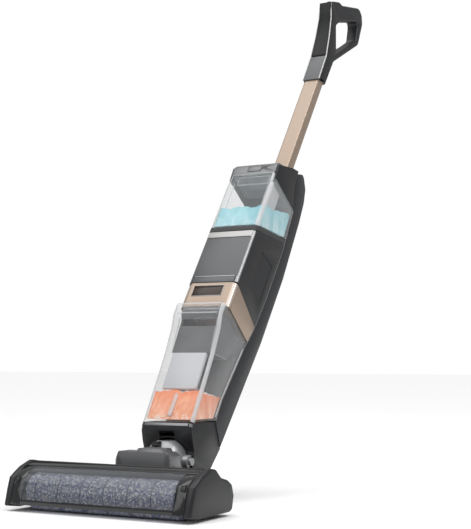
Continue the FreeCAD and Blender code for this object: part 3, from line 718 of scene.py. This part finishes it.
class Repeat:
    """A Geometry Nodes tree that sets a small shape on the points of a mesh."""

    def __init__(self, name: str, finish: Finish) -> None:
        """Starts the tree with a size input."""
        self.tree = bpy.data.node_groups.new(name, "GeometryNodeTree")
        face = self.tree.interface
        face.new_socket("Geometry", in_out="INPUT", socket_type="NodeSocketGeometry")
        self.size = face.new_socket("Size", in_out="INPUT", socket_type="NodeSocketFloat")
        self.shape = face.new_socket("Shape", in_out="INPUT", socket_type="NodeSocketObject")
        face.new_socket("Geometry", in_out="OUTPUT", socket_type="NodeSocketGeometry")
        self.finish = finish
        self._wire()

    def _wire(self) -> None:
        """Joins the points to the shape, turned along each point's normal."""
        add = self.tree.nodes.new
        link = self.tree.links.new
        start, end = add("NodeGroupInput"), add("NodeGroupOutput")
        to_points = add("GeometryNodeMeshToPoints")
        to_points.mode = "FACES"
        normal = add("GeometryNodeInputNormal")
        align = add("FunctionNodeAlignRotationToVector")
        align.axis = "Z"
        info = add("GeometryNodeObjectInfo")
        place = add("GeometryNodeInstanceOnPoints")
        capture = add("GeometryNodeCaptureAttribute")
        capture.domain = "FACE"
        capture.capture_items.new("VECTOR", "Normal")
        realize = add("GeometryNodeRealizeInstances")
        paint = add("GeometryNodeSetMaterial")
        paint.inputs["Material"].default_value = self.finish.material()
        link(start.outputs["Geometry"], capture.inputs["Geometry"])
        link(normal.outputs["Normal"], capture.inputs["Normal"])
        link(capture.outputs["Geometry"], to_points.inputs["Mesh"])
        link(to_points.outputs["Points"], place.inputs["Points"])
        link(start.outputs["Shape"], info.inputs["Object"])
        link(info.outputs["Geometry"], place.inputs["Instance"])
        link(capture.outputs["Normal"], align.inputs["Vector"])
        link(align.outputs["Rotation"], place.inputs["Rotation"])
        link(start.outputs["Size"], place.inputs["Scale"])
        link(place.outputs["Instances"], realize.inputs["Geometry"])
        link(realize.outputs["Geometry"], paint.inputs["Geometry"])
        link(paint.outputs["Geometry"], end.inputs["Geometry"])

    def spread(self, name: str, spots: Sequence[tuple[Vector, Vector]], shape: bmesh.types.BMesh,
               size: float = 1.0) -> bpy.types.Object:
        """Sets the shape on each spot.

        Args:
            name: the new piece's name.
            spots: (place, outward direction) pairs, in the model's metres.
            shape: the small shape, in millimetres, standing on +Z.
            size: a scale for the shape.

        Returns:
            The joined piece.
        """
        seed = piece(f"{name}_shape", shape, Matrix.Scale(MM, 4), self.finish)
        carrier = bpy.data.meshes.new(f"{name}_spots")
        points, faces = [], []
        for place, out in spots:
            side = out.orthogonal().normalized() * 1e-5
            other = out.cross(side).normalized() * 1e-5
            first = len(points)
            points += [place - side, place + side * 0.5 + other, place + side * 0.5 - other]
            faces.append((first, first + 1, first + 2))
        carrier.from_pydata(points, [], faces)
        carrier.update()
        return self._grow(stand(name, carrier), seed, size)

    def _grow(self, holder: bpy.types.Object, seed: bpy.types.Object,
              size: float) -> bpy.types.Object:
        """Runs the tree on the holder and keeps the result as a plain mesh."""
        grow = holder.modifiers.new("repeat", "NODES")
        grow.node_group = self.tree
        grow[self.size.identifier] = size
        grow[self.shape.identifier] = seed
        graph = bpy.context.evaluated_depsgraph_get()
        result = bpy.data.meshes.new_from_object(holder.evaluated_get(graph))
        holder.modifiers.clear()
        holder.data = result
        bpy.data.objects.remove(seed)
        return holder


# ------------------------------------------------------------------ small shapes

def strip(points: Sequence[Point], wide: float, low: float, high: float,
          bm: Optional[bmesh.types.BMesh] = None) -> bmesh.types.BMesh:
    """A thin strip along a side line.

    Args:
        points: the line's (y, z) points.
        wide: the strip's width.
        low: its first x.
        high: its last x.
        bm: a mesh to add to.

    Returns:
        The mesh.
    """
    bm = bm or bmesh.new()
    line = [Vector(p) for p in points]
    rows = []
    for i, here in enumerate(line):
        run = (line[min(i + 1, len(line) - 1)] - line[max(i - 1, 0)]).normalized()
        side = Vector((-run.y, run.x)) * wide / 2
        rows.append([bm.verts.new((x, q.x, q.y)) for x, q in
                     ((low, here - side), (high, here - side), (high, here + side),
                      (low, here + side))])
    loft(bm, rows)
    return bm


def frame_of(bm: bmesh.types.BMesh, x0: float, x1: float, y: float, z0: float, z1: float,
             wide: float = 1.0, deep: float = 0.8) -> None:
    """Adds a thin upright frame round a front window."""
    block(bm, (x0 - wide, y, z0 - wide), (x1 + wide, y + deep, z0), 0.2)
    block(bm, (x0 - wide, y, z1), (x1 + wide, y + deep, z1 + wide), 0.2)
    block(bm, (x0 - wide, y, z0), (x0, y + deep, z1), 0.2)
    block(bm, (x1, y, z0), (x1 + wide, y + deep, z1), 0.2)


def highlight_strips(bm: bmesh.types.BMesh, half: float, radius: float, line: Sequence[Point],
                 spread: Point = (8.0, 82.0), proud: float = 0.15, thick: float = 0.45,
                 steps: int = 8) -> None:
    """Adds painted highlights: lighter bands up both front corners that stand for a light's reflection on their
    rounding.

    Args:
        bm: the mesh to add to.
        half: half the width of the part that they lie on.
        radius: the rounding of its corners.
        line: the (y, z) points of its front face.
        spread: the first and last angle of the band, in degrees from the front.
        proud: how far the band stands out.
        thick: how thick it is.
        steps: pieces round the corner.
    """
    for sign in (-1, 1):
        rows = []
        for y, z in line:
            row = []
            for reach, order in ((radius + proud, range(steps + 1)),
                                 (radius + proud - thick, range(steps, -1, -1))):
                for k in order:
                    angle = math.radians(spread[0] + (spread[1] - spread[0]) * k / steps)
                    x = half - radius + reach * math.sin(angle)
                    row.append(bm.verts.new((sign * x, y + radius - reach * math.cos(angle), z)))
            rows.append(row)
        loft(bm, rows)


@dataclass
class Pool:
    """Standing water in a tank, with a wavy top, in upright millimetres."""

    name: str
    body: str
    slot: str
    finish: Finish
    half: float
    front: Callable[[float], float]
    back: Callable[[float], float]
    floor: Callable[[float], float]
    level: Callable[[float], float]
    corner: float = 4.0
    wave: float = 1.6
    across: int = 48
    along: int = 44

    def surface(self, x: float, y: float) -> float:
        """The height of the surface at a point."""
        swell = math.sin(0.16 * x + 0.11 * y) + 0.6 * math.sin(0.31 * x - 0.23 * y + 1.3)
        ripple = 0.35 * math.sin(0.55 * x + 0.4 * y + 0.5)
        return self.level(y) + self.wave * (swell + ripple)

    def reach(self, depth: float) -> float:
        """Half the pool's width at a distance behind the front wall."""
        if depth >= self.corner:
            return self.half
        gap = self.corner - depth
        return self.half - self.corner + math.sqrt(max(0.0, self.corner ** 2 - gap ** 2))

    def build(self, matrix: Matrix) -> bpy.types.Object:
        """Builds the water as one closed body."""
        bm = bmesh.new()
        sheets = []
        for top in (False, True):
            sheet = []
            for j in range(self.along + 1):
                t = (j / self.along) ** 1.3
                guess = self.front(self.level(0)) * (1 - t) + self.back(self.level(0)) * t
                z = self.level(guess) if top else self.floor(guess)
                y = self.front(z) * (1 - t) + self.back(z) * t
                half = self.reach(y - self.front(z))
                row = []
                for i in range(self.across + 1):
                    x = half * (2 * i / self.across - 1)
                    height = self.surface(x, y) if top else self.floor(y)
                    row.append(bm.verts.new((x, y, height)))
                sheet.append(row)
            sheets.append(sheet)
        for sheet in sheets:
            join_rings(bm, sheet, closed=False)
        low, high = sheets
        rims = [(low[0], high[0]), (low[-1], high[-1]),
                ([r[0] for r in low], [r[0] for r in high]),
                ([r[-1] for r in low], [r[-1] for r in high])]
        for rim in rims:
            join_rings(bm, rim, closed=False)
        return fit(piece(self.name, bm, matrix, self.finish, 50), self.body, self.slot)


# ------------------------------------------------------------------ the machine

@dataclass
class FloorHead:
    """The floor head: caps, roller cover, housing, neck block and wheels."""

    wheel_radius: float = 25.0
    wheel_y: float = 138.0
    wheel_z: float = 25.0
    wheel_out: float = 74.0
    wheel_in: float = 58.0
    wheel_ribs: int = 36

    def build(self) -> None:
        """Builds every piece of the head."""
        self._shells()
        self._cover()
        self._wheels()
        self._screws()
        dress(Finish.INNER, "sole_plate", "spray_bar", "suction_duct", "rear_carriage")
        dress(Finish.MOTOR, "roller_motor")
        dress(Finish.STEEL, "wheel_axle")
        dress(Finish.RUBBER, "scraper_bar")

    def _shells(self) -> None:
        """The hard shells of the head."""
        for node, width in (("left_side_cap", 1.8), ("right_side_cap", 1.8),
                            ("head_housing", 1.2)):
            reskin(node, f"{node}_skin", Finish.SHELL, "floor_head", width)
        reskin("neck_housing", "neck_block", Finish.DULL, "floor_head", 1.2)

    def _cover(self) -> None:
        """The smoked window, its dark frame and the latch tabs."""
        reskin("cover_window", "roller_window", Finish.WINDOW, "roller_cover", 0.6)
        reskin("cover_frame", "window_frame", Finish.GLOSS, "roller_cover", 0.9)
        for side in ("left", "right"):
            reskin(f"{side}_cover_latch", f"{side}_latch_tab", Finish.SPINE, f"{side}_latch", 0.6,
                   1.0)

    def _wheels(self) -> None:
        """The rear wheels, with their tread ribs."""
        ribs = Repeat("tread", Finish.TYRE)
        for side, sign in (("left", -1), ("right", 1)):
            body = f"{side}_rear_wheel"
            reskin(f"{side}_wheel", f"{side}_wheel_skin", Finish.TYRE, body, 0.5, 2.0)
            spots = []
            middle = sign * (self.wheel_in + self.wheel_out) / 2
            for k in range(self.wheel_ribs):
                angle = 2 * math.pi * k / self.wheel_ribs
                out = Vector((0, math.cos(angle), math.sin(angle)))
                centre = Vector((middle, self.wheel_y, self.wheel_z))
                place = centre + out * (self.wheel_radius - 0.5)
                spots.append((head_matrix() @ place, out))
            shape = bmesh.new()
            block(shape, (-5.4, -0.5, 0), (5.4, 0.5, 0.7), 0.2)
            fit(ribs.spread(f"{side}_wheel_tread", spots, shape), body, "tyre_grey")

    def _screws(self) -> None:
        """Gives the hidden screws their steel."""
        dress(Finish.STEEL, "head_screws")


@dataclass
class Roller:
    """The powered roller with its microfibre pile and sewn bands."""

    y: float = 31.0
    z: float = 24.0
    radius: float = 23.4
    half: float = 112.0
    bands: tuple[float, ...] = (-97.0, -62.0, -27.0, 8.0, 43.0, 78.0)
    rings: int = 224
    steps: int = 120
    tufts: int = 9000
    seed: int = 41

    def build(self) -> None:
        """Builds the pile, its bands and its tufts."""
        fit(self._pile(), "roller", "microfibre", "roller_fabric")
        fit(self._sewn_bands(), "roller", "microfibre")
        fit(self._tufts(), "roller", "microfibre")
        dress(Finish.INNER, "roller_core")
        reskin("roller_end_cap", "roller_end_plug", Finish.SHELL, "roller", 0.5, 1.0)

    def _radius(self, x: float, angle: float, draw: random.Random) -> float:
        """The pile's radius at a place, drawn in at the bands and the ends."""
        nearest = min(abs(x - b) for b in self.bands)
        pinch = 1.5 * math.exp(-(nearest / 1.6) ** 2)
        end = 2.2 * math.exp(-((self.half - abs(x)) / 1.6) ** 2)
        clump = 0.30 * math.sin(0.9 * x + 3 * angle) * math.sin(7 * angle + 0.21 * x)
        return self.radius - pinch - end + clump + draw.uniform(-0.28, 0.28)

    def _pile(self) -> bpy.types.Object:
        """The ground of the pile, as a closed sleeve."""
        draw = random.Random(self.seed)
        bm = bmesh.new()
        rings = []
        for i in range(self.rings + 1):
            x = self.half * (2 * i / self.rings - 1)
            ring = []
            for k in range(self.steps):
                angle = 2 * math.pi * k / self.steps
                r = self._radius(x, angle, draw)
                ring.append(bm.verts.new((x, self.y + r * math.cos(angle),
                                          self.z + r * math.sin(angle))))
            rings.append(ring)
        inner = [[bm.verts.new((x, self.y + 19.2 * math.cos(2 * math.pi * k / self.steps),
                                self.z + 19.2 * math.sin(2 * math.pi * k / self.steps)))
                  for k in range(self.steps)] for x in (self.half, -self.half)]
        chain = rings + inner
        join_rings(bm, chain + chain[:1])
        return piece("roller_pile", bm, head_matrix(), Finish.PILE, 180)

    def _sewn_bands(self) -> bpy.types.Object:
        """The sewn bands round the pile, in dark blue that is partly their own colour and partly painted shade of
        the grooves.
        """
        bm = bmesh.new()
        for x in self.bands:
            r = self.radius - 1.3
            profile = [(-1.0, r - 1.2), (-1.0, r + 0.1), (-0.5, r + 0.5), (0.5, r + 0.5),
                       (1.0, r + 0.1), (1.0, r - 1.2), (-1.0, r - 1.2)]
            turned(profile, (x, self.y, self.z), "X", 96, bm)
        return piece("roller_sewn_bands", bm, head_matrix(), Finish.BAND, 40)

    def _tufts(self) -> bpy.types.Object:
        """Loose yarn ends all over the pile."""
        draw = random.Random(self.seed + 1)
        spots = []
        for _ in range(self.tufts):
            x = draw.uniform(-self.half + 1.5, self.half - 1.5)
            angle = draw.uniform(0, 2 * math.pi)
            if min(abs(x - b) for b in self.bands) < 1.6:
                continue
            out = Vector((draw.uniform(-0.5, 0.5), math.cos(angle), math.sin(angle)))
            place = Vector((x, self.y, self.z)) + Vector((0, math.cos(angle), math.sin(angle))) \
                * (self.radius - 0.5)
            spots.append((head_matrix() @ place, out.normalized()))
        shape = bmesh.new()
        bmesh.ops.create_cone(shape, cap_ends=True, segments=4, radius1=0.55, radius2=0.18,
                              depth=1.5, matrix=Matrix.Translation((0, 0, 0.75)))
        return Repeat("yarn", Finish.PILE).spread("roller_yarn", spots, shape)


@dataclass
class Neck:
    """The silver dome of the neck, with its slots."""

    front_y: float = 138.0

    def build(self) -> None:
        """Builds the dome's skin and dresses the hose."""
        reskin("neck_dome", "neck_dome_skin", Finish.NECK, "neck")
        dress(Finish.RUBBER, "neck_hose")
        bm = bmesh.new()
        front = self.front_y - 0.4
        block(bm, (-7.0, front + 3.2, 77.0), (4.0, front + 12.0, 84.0), 0.5)
        fit(piece("neck_front_slots", bm, head_matrix(), Finish.GLOSS), "neck", "neck_silver")


@dataclass
class MachineBody:
    """The long body: base box, spine, motor housing and top cap."""

    half: float = 41.0
    front: float = -44.0
    seam: tuple[Point, ...] = ((20, 78), (18, 110), (29, 208), (37, 246), (42, 305), (43, 397),
                               (35, 477))

    def build(self) -> None:
        """Builds every piece of the body."""
        matrix = body_matrix()
        for node, finish, width in (
                ("base_box", Finish.SHELL, 1.4), ("spine_cover", Finish.SPINE, 1.2),
                ("motor_housing", Finish.SHELL, 0.9), ("top_cap", Finish.SHELL, 1.6),
                ("tube_socket", Finish.INNER, 0.6), ("front_panel", Finish.SATIN, 0.5),
                ("silver_trim", Finish.SILVER, 0.4), ("tank_gasket", Finish.RUBBER, 0.9)):
            reskin(node, f"{node}_skin", finish, "machine_body", width)
        self._lines(matrix)
        dress(Finish.SHELL, "exhaust_grilles")
        dress(Finish.INNER, "inner_frame", "water_pump", "dirty_duct")
        dress(Finish.MOTOR, "suction_motor", "fan_impeller")
        dress(Finish.SLEEVE, "battery_pack")
        dress(Finish.BOARD, "control_board")
        dress(Finish.BRASS, "charging_contacts")
        dress(Finish.STEEL, "body_screws")

    def _lines(self, matrix: Matrix) -> None:
        """The fine light lines, the painted highlights up the housing's and the base's front corners with a
        lighter painted band on the base's sloped top, and the lower band of the front.
        """
        bm = bmesh.new()
        for sign in (-1, 1):
            low, high = sorted((sign * (self.half - 0.4), sign * (self.half + 0.15)))
            strip(self.seam, 0.5, low, high, bm)
        block(bm, (-33.5, self.front - 0.35, 283.6), (33.5, self.front + 0.6, 284.8), 0.2)
        fit(piece("body_edge_lines", bm, matrix, Finish.SILVER), "machine_body", "pale_trim")
        # Painted highlights: lighter strips up the motor housing's front corners, for a light's reflection on the
        # rounding.
        bm = bmesh.new()
        highlight_strips(bm, self.half, 6.0, ((self.front, 273.2), (self.front, 370.2)), (14, 70))
        fit(piece("housing_corners", bm, matrix, Finish.GREY_HIGHLIGHT), "machine_body", "pale_trim")
        # Painted highlights up the base's front corners, and a lighter painted band across its sloped top where
        # light falls from above.
        bm = bmesh.new()
        highlight_strips(bm, 40.0, 4.0, ((-29.4, 36.5), (-30, 41)))
        block(bm, (-34.5, -30.2, 36.6), (34.5, -28.6, 41.2), 0.6)
        fit(piece("base_corners", bm, matrix, Finish.DULL), "machine_body", "dark_shell")
        bm = bmesh.new()
        block(bm, (-34.5, self.front - 0.3, 273.4), (34.5, self.front + 1.0, 283.2), 0.5)
        fit(piece("lower_band", bm, matrix, Finish.SATIN), "machine_body", "satin_grey")


@dataclass
class CleanTank:
    """The clear clean-water tank with its lid, water and inner mouldings."""

    half: float = 38.5
    front: float = -41.6
    surface_z: float = 421.0

    def build(self) -> None:
        """Builds every piece of the tank."""
        matrix = body_matrix()
        reskin("clean_tank_shell", "clean_tank_wall", Finish.TANK, "clean_tank", 0.9)
        reskin("clean_tank_lid", "clean_tank_cap", Finish.LID, "clean_tank", 1.1)
        dress(Finish.PALE, "filler_cap")
        reskin("clean_tank_button", "clean_tank_key", Finish.LID, "clean_release", 0.5, 1.0)
        Pool("clean_water", "clean_tank", "clear_tank", Finish.WATER, self.half,
             front=lambda z: self.front, back=lambda z: 36.6 - max(0.0, z - 425) * 0.098,
             floor=lambda y: 384.4 + (y + 41.8) * 0.524,
             level=lambda y: self.surface_z + (y - self.front) * 0.62).build(matrix)
        self._inner(matrix)

    def _inner(self, matrix: Matrix) -> None:
        """The mouldings seen through the wall."""
        bm = bmesh.new()
        block(bm, (-36.5, self.front - 2.6, 488.2), (36.5, self.front + 1.2, 489.4), 0.3)
        fit(piece("lid_edge_line", bm, matrix, Finish.SILVER), "clean_tank", "pale_trim")
        bm = bmesh.new()
        frame_of(bm, -24, 28, -39.5, 471, 486, 0.9, 0.9)
        for x in (-30.0, 31.0):
            block(bm, (x - 0.5, -39.8, 400), (x + 0.5, -38.4, 474), 0.3)
        block(bm, (-24, -39.5, 386.5), (16, -30.0, 390.5), 1.6)
        block(bm, (31.5, -28, 424), (33.5, -4, 476), 0.6)
        fit(piece("clean_tank_ribs", bm, matrix, Finish.EDGE), "clean_tank", "clear_tank")
        # Painted highlights: denser clear strips up the tank wall's front corners, for a light's reflection.
        bm = bmesh.new()
        highlight_strips(bm, 41.0, 6.0, ((-44, 381.6), (-44, 469.5)))
        highlight_strips(bm, 38.0, 4.0, ((-44, 471), (-44, 488)))
        fit(piece("clean_tank_corners", bm, matrix, Finish.EDGE), "clean_tank", "clear_tank")
        bm = turned([(-2.0, 0), (-2.0, 9.0), (0, 10.5), (2.2, 10.5), (2.2, 8.6), (0.8, 7.2),
                     (0.8, 0)], (2, 27.0, 446), "Y", 48)
        fit(piece("filler_ring", bm, matrix, Finish.PALE), "clean_tank", "white_plastic")


@dataclass
class DirtyTank:
    """The clear dirty-water tank with its collar, filter, water and foam."""

    half: float = 37.9
    surface_z: float = 91.0
    seed: int = 7

    def build(self) -> None:
        """Builds every piece of the tank."""
        matrix = body_matrix()
        reskin("dirty_tank_shell", "dirty_tank_wall", Finish.TANK, "dirty_tank", 0.9)
        reskin("tank_collar", "collar_skin", Finish.CHAMPAGNE, "dirty_tank", 0.8)
        reskin("filter_box", "filter_housing", Finish.FILTER, "dirty_tank", 1.4)
        reskin("filter_panel", "separator_plate", Finish.PALE, "dirty_tank", 0.9)
        reskin("tank_latch", "latch_key", Finish.TINTED, "dirty_release", 0.6, 1.0)
        Pool("dirty_water", "dirty_tank", "clear_orange", Finish.DIRTY, self.half - 0.3,
             front=self._front, back=lambda z: 16.8,
             floor=lambda y: 46.4 + (y + 30) * 0.709,
             level=lambda y: self.surface_z + (y + 33) * 0.42, wave=1.9).build(matrix)
        self._details(matrix)
        self._foam(matrix)

    @staticmethod
    def _front(z: float) -> float:
        """The inner face of the tank's front wall at a height."""
        return -27.5 - (z - 43) * 0.0857

    def _details(self, matrix: Matrix) -> None:
        """The window's frame, the ledge and the lines on the filter."""
        bm = bmesh.new()
        frame_of(bm, -27.5, 21.5, -44.5, 248.5, 266.5, 0.9, 0.8)
        fit(piece("latch_frame", bm, matrix, Finish.SILVER), "dirty_tank", "champagne_plastic")
        bm = bmesh.new()
        block(bm, (-30.5, -46.6, 221.6), (30.5, -45.2, 222.8), 0.3)
        for sign in (-1, 1):
            low, high = sorted((sign * 30.9, sign * 31.6))
            strip([(-45, 208), (-34.5, 156), (9, 173)], 0.7, low, high, bm)
        fit(piece("filter_lines", bm, matrix, Finish.SILVER), "dirty_tank", "inner_plastic")
        bm = bmesh.new()
        block(bm, (-3.4, -31.6, 52), (3.4, -28.4, 88), 1.2)
        fit(piece("tank_rib", bm, matrix, Finish.EDGE), "dirty_tank", "clear_tank")
        # Painted highlights up the tank's front corners and along its rear side edges, and two thin clear lines
        # across its front.
        bm = bmesh.new()
        highlight_strips(bm, 40.5, 5.0, ((-30, 44), (-36, 113), (-40, 152), (-47, 190), (-54, 210),
                                     (-54, 227)))
        strip([(17.0, 82), (16.2, 110), (21.4, 158), (26.6, 204)], 2.2, 40.0, 40.7, bm)
        strip([(17.0, 82), (16.2, 110), (21.4, 158), (26.6, 204)], 2.2, -40.7, -40.0, bm)
        block(bm, (-34.0, -54.2, 225.6), (34.0, -53.0, 227.6), 0.4)
        block(bm, (-33.0, -54.2, 209.6), (33.0, -53.2, 210.8), 0.3)
        fit(piece("dirty_tank_corners", bm, matrix, Finish.EDGE), "dirty_tank", "clear_tank")
        # Painted highlights: lighter champagne strips up the collar's front corners.
        bm = bmesh.new()
        highlight_strips(bm, 41.0, 9.0, ((-44, 230), (-44, 271)), (20, 70), 0.12)
        fit(piece("collar_corners", bm, matrix, Finish.CHAMPAGNE_HIGHLIGHT), "dirty_tank", "champagne_plastic")

    def _foam(self, matrix: Matrix) -> None:
        """Bubbles near the walls, at the bottom and at the surface."""
        draw = random.Random(self.seed)
        grow = Repeat("bubbles", Finish.FOAM)
        for number, (size, count) in enumerate(((0.8, 150), (1.3, 70), (2.0, 22))):
            spots = []
            for _ in range(count):
                x = draw.uniform(-34, 34)
                y = draw.uniform(-27, 12)
                on_floor = draw.random() < 0.6
                if draw.random() < 0.5:
                    y = self._front(60) + size + draw.uniform(0.2, 1.2)
                elif draw.random() < 0.6:
                    x = self.half - size - 0.6
                low = 46.4 + (y + 30) * 0.709
                high = self.surface_z + (y + 33) * 0.42
                z = low + size + draw.uniform(0, 7) if on_floor else high + draw.uniform(-2, 0.6)
                out = Vector((draw.uniform(-1, 1), draw.uniform(-1, 1), 1)).normalized()
                spots.append((matrix @ Vector((x, y, z)), out))
            shape = bmesh.new()
            bmesh.ops.create_icosphere(shape, subdivisions=2, radius=size)
            fit(grow.spread(f"foam_{number + 1}", spots, shape), "dirty_tank", "clear_orange")


@dataclass
class Handle:
    """The champagne tube and the loop handle."""

    outline: tuple[Point, ...] = ((17.7, 767), (16.2, 824), (6.7, 866), (-4.3, 901), (-19.6, 926),
                                  (-10, 941), (6, 958), (18, 963), (72, 1019), (88, 1017),
                                  (100, 1004), (108, 956), (44, 839), (42, 778))
    hole: tuple[Point, ...] = ((18, 907), (41, 867), (43, 857), (79, 922), (96, 956), (82, 993),
                               (58, 965), (28, 930))
    turns: tuple[float, ...] = (0.6, 6, 8, 10, 5, 5, 5, 6, 14, 10, 14, 16, 14, 3)

    def build(self) -> None:
        """Builds every piece of the handle."""
        matrix = body_matrix()
        reskin("handle_tube", "tube_skin", Finish.CHAMPAGNE, "handle", 0.3)
        bm = bmesh.new()
        outer = [Corner(y, z, t, 4.2) for (y, z), t in zip(self.outline, self.turns)]
        inner = corners(self.hole, 9.0, 3.2)
        loops = [rounded_loop(outer), rounded_loop(inner)]
        add_prism(bm, loops, lambda p: -self.half(p.y), lambda p: self.half(p.y))
        fit(piece("handle_loop", bm, matrix, Finish.SHELL, 50), "handle", "dark_shell",
            "left_handle_shell", "right_handle_shell")
        reskin("sleeve_panel", "sleeve_front", Finish.SATIN, "handle", 0.5)
        reskin("stem_cover", "stem_front", Finish.GRAINED, "handle", 0.7)
        self._edge_lines(matrix)
        reskin("grip_pad", "grip_top", Finish.SILVER, "handle", 1.0)
        reskin("trigger", "trigger_key", Finish.SILVER, "trigger_lever", 0.8, 1.0)
        reskin("power_button", "power_key_cap", Finish.SILVER, "power_key", 0.5, 0.1)
        reskin("mode_button", "mode_key_cap", Finish.LID, "mode_key", 0.5, 0.1)
        reskin("tube_lock_button", "tube_lock_key", Finish.LID, "tube_release", 0.6, 1.0)

    def _edge_lines(self, matrix: Matrix) -> None:
        """The thin silver lines up both front edges of the stem."""
        front = ((16, 768), (14.5, 823.5), (5, 866), (-6, 901), (-20, 926))
        bm = bmesh.new()
        for sign in (-1, 1):
            rows = []
            for y, z in front:
                x = self.half(z) + 0.12
                rows.append([bm.verts.new((sign * (x - a), y + b, z)) for a, b in
                             ((1.5, -0.25), (0.5, -0.2), (0.0, 0.4), (0.0, 1.3), (1.5, 1.3))])
            loft(bm, rows)
        fit(piece("stem_edge_lines", bm, matrix, Finish.SILVER), "handle", "pale_trim")

    @staticmethod
    def half(z: float) -> float:
        """Half the handle's width at a height."""
        stops = ((760, 15.7), (830, 15.7), (901, 12.5), (930, 11.0), (1100, 11.0))
        for (z0, w0), (z1, w1) in zip(stops, stops[1:]):
            if z <= z1:
                return w0 + (w1 - w0) * (z - z0) / (z1 - z0)
        return stops[-1][1]


# ------------------------------------------------------------------ the studio

@dataclass
class Studio:
    """The floor, the soft lights and the camera."""

    place: tuple[float, float, float] = (0.875, -1.6304, 0.195)
    right: tuple[float, float, float] = (0.87407, 0.48580, 0.0)
    up: tuple[float, float, float] = (0.03774, -0.06791, 0.99698)
    lens: float = 81.66
    ambient: float = 0.36
    sky: float = 2.3

    def build(self) -> None:
        """Builds the camera, the floor and the lights."""
        self._camera()
        self._floor()
        self._world()
        along = body_matrix().col[2].to_3d()
        self._light("edge", (1.12, -0.15, 1.62), (0.0, 0.0, 0.42), (0.16, 1.7), 15, along)
        self._light("front", (-1.1, -2.3, 1.5), (0.0, 0.0, 0.4), (1.2, 1.6), 10)
        self._sky()

    def _camera(self) -> None:
        """The camera."""
        data = bpy.data.cameras.new("camera")
        data.lens = self.lens
        data.sensor_width = 36.0
        data.sensor_fit = "AUTO"
        data.clip_start = 0.05
        camera = stand("camera", data)
        right, up = Vector(self.right), Vector(self.up)
        turn = Matrix((right, up, right.cross(up))).transposed().to_4x4()
        camera.matrix_world = Matrix.Translation(Vector(self.place)) @ turn
        bpy.context.scene.camera = camera

    def _floor(self) -> None:
        """A wide pale floor."""
        shader = Shader("studio_floor")
        soft = shader.noise(shader.position(), 3.0, 2.0)
        shader.principal(Base_Color=shader.blend(soft, (0.90, 0.90, 0.90), (0.93, 0.93, 0.93)),
                         Roughness=0.9)
        bm = bmesh.new()
        bmesh.ops.create_grid(bm, x_segments=2, y_segments=2, size=12.0)
        mesh = bpy.data.meshes.new("studio_floor")
        bm.to_mesh(mesh)
        bm.free()
        mesh.materials.append(shader.material)
        stand("studio_floor", mesh)

    def _world(self) -> None:
        """A white surround that lights the machine only softly."""
        world = bpy.data.worlds.new("surround")
        world.use_nodes = True
        tree = world.node_tree
        background = tree.nodes["Background"]
        background.inputs["Color"].default_value = (1.0, 1.0, 1.0, 1.0)
        path = tree.nodes.new("ShaderNodeLightPath")
        level = tree.nodes.new("ShaderNodeMapRange")
        level.inputs["To Min"].default_value = self.ambient
        level.inputs["To Max"].default_value = 1.0
        tree.links.new(path.outputs["Is Camera Ray"], level.inputs["Value"])
        tree.links.new(level.outputs["Result"], background.inputs["Strength"])
        bpy.context.scene.world = world
        bpy.context.scene.view_settings.view_transform = "Standard"

    def _sky(self) -> None:
        """A wide soft light from above, even over the whole floor."""
        data = bpy.data.lights.new("sky", "SUN")
        data.energy = self.sky
        data.angle = math.radians(70)
        stand("sky", data).rotation_euler = (math.radians(14), math.radians(-8), 0.0)

    def _light(self, name: str, place: Sequence[float], target: Sequence[float],
               size: Sequence[float], power: float, along: Vector = Vector((0, 0, 1))) -> None:
        """A soft rectangular light.

        Args:
            name: its name.
            place: where it stands.
            target: what it faces.
            size: its width and length.
            power: its power, in watts.
            along: the direction that its length follows.
        """
        data = bpy.data.lights.new(name, "AREA")
        data.shape = "RECTANGLE"
        data.size, data.size_y = size
        data.energy = power
        away = (Vector(place) - Vector(target)).normalized()
        across = along.cross(away).normalized()
        turn = Matrix((across, away.cross(across), away)).transposed().to_4x4()
        stand(name, data).matrix_world = Matrix.Translation(Vector(place)) @ turn


def main() -> None:
    """Builds the machine."""
    logging.basicConfig(level=logging.INFO, format="%(name)s: %(message)s")
    Studio().build()
    for part in (FloorHead(), Roller(), Neck(), MachineBody(), CleanTank(), DirtyTank(), Handle()):
        part.build()
        LOG.info("finished %s", type(part).__name__)


if __name__ == "__main__":
    main()
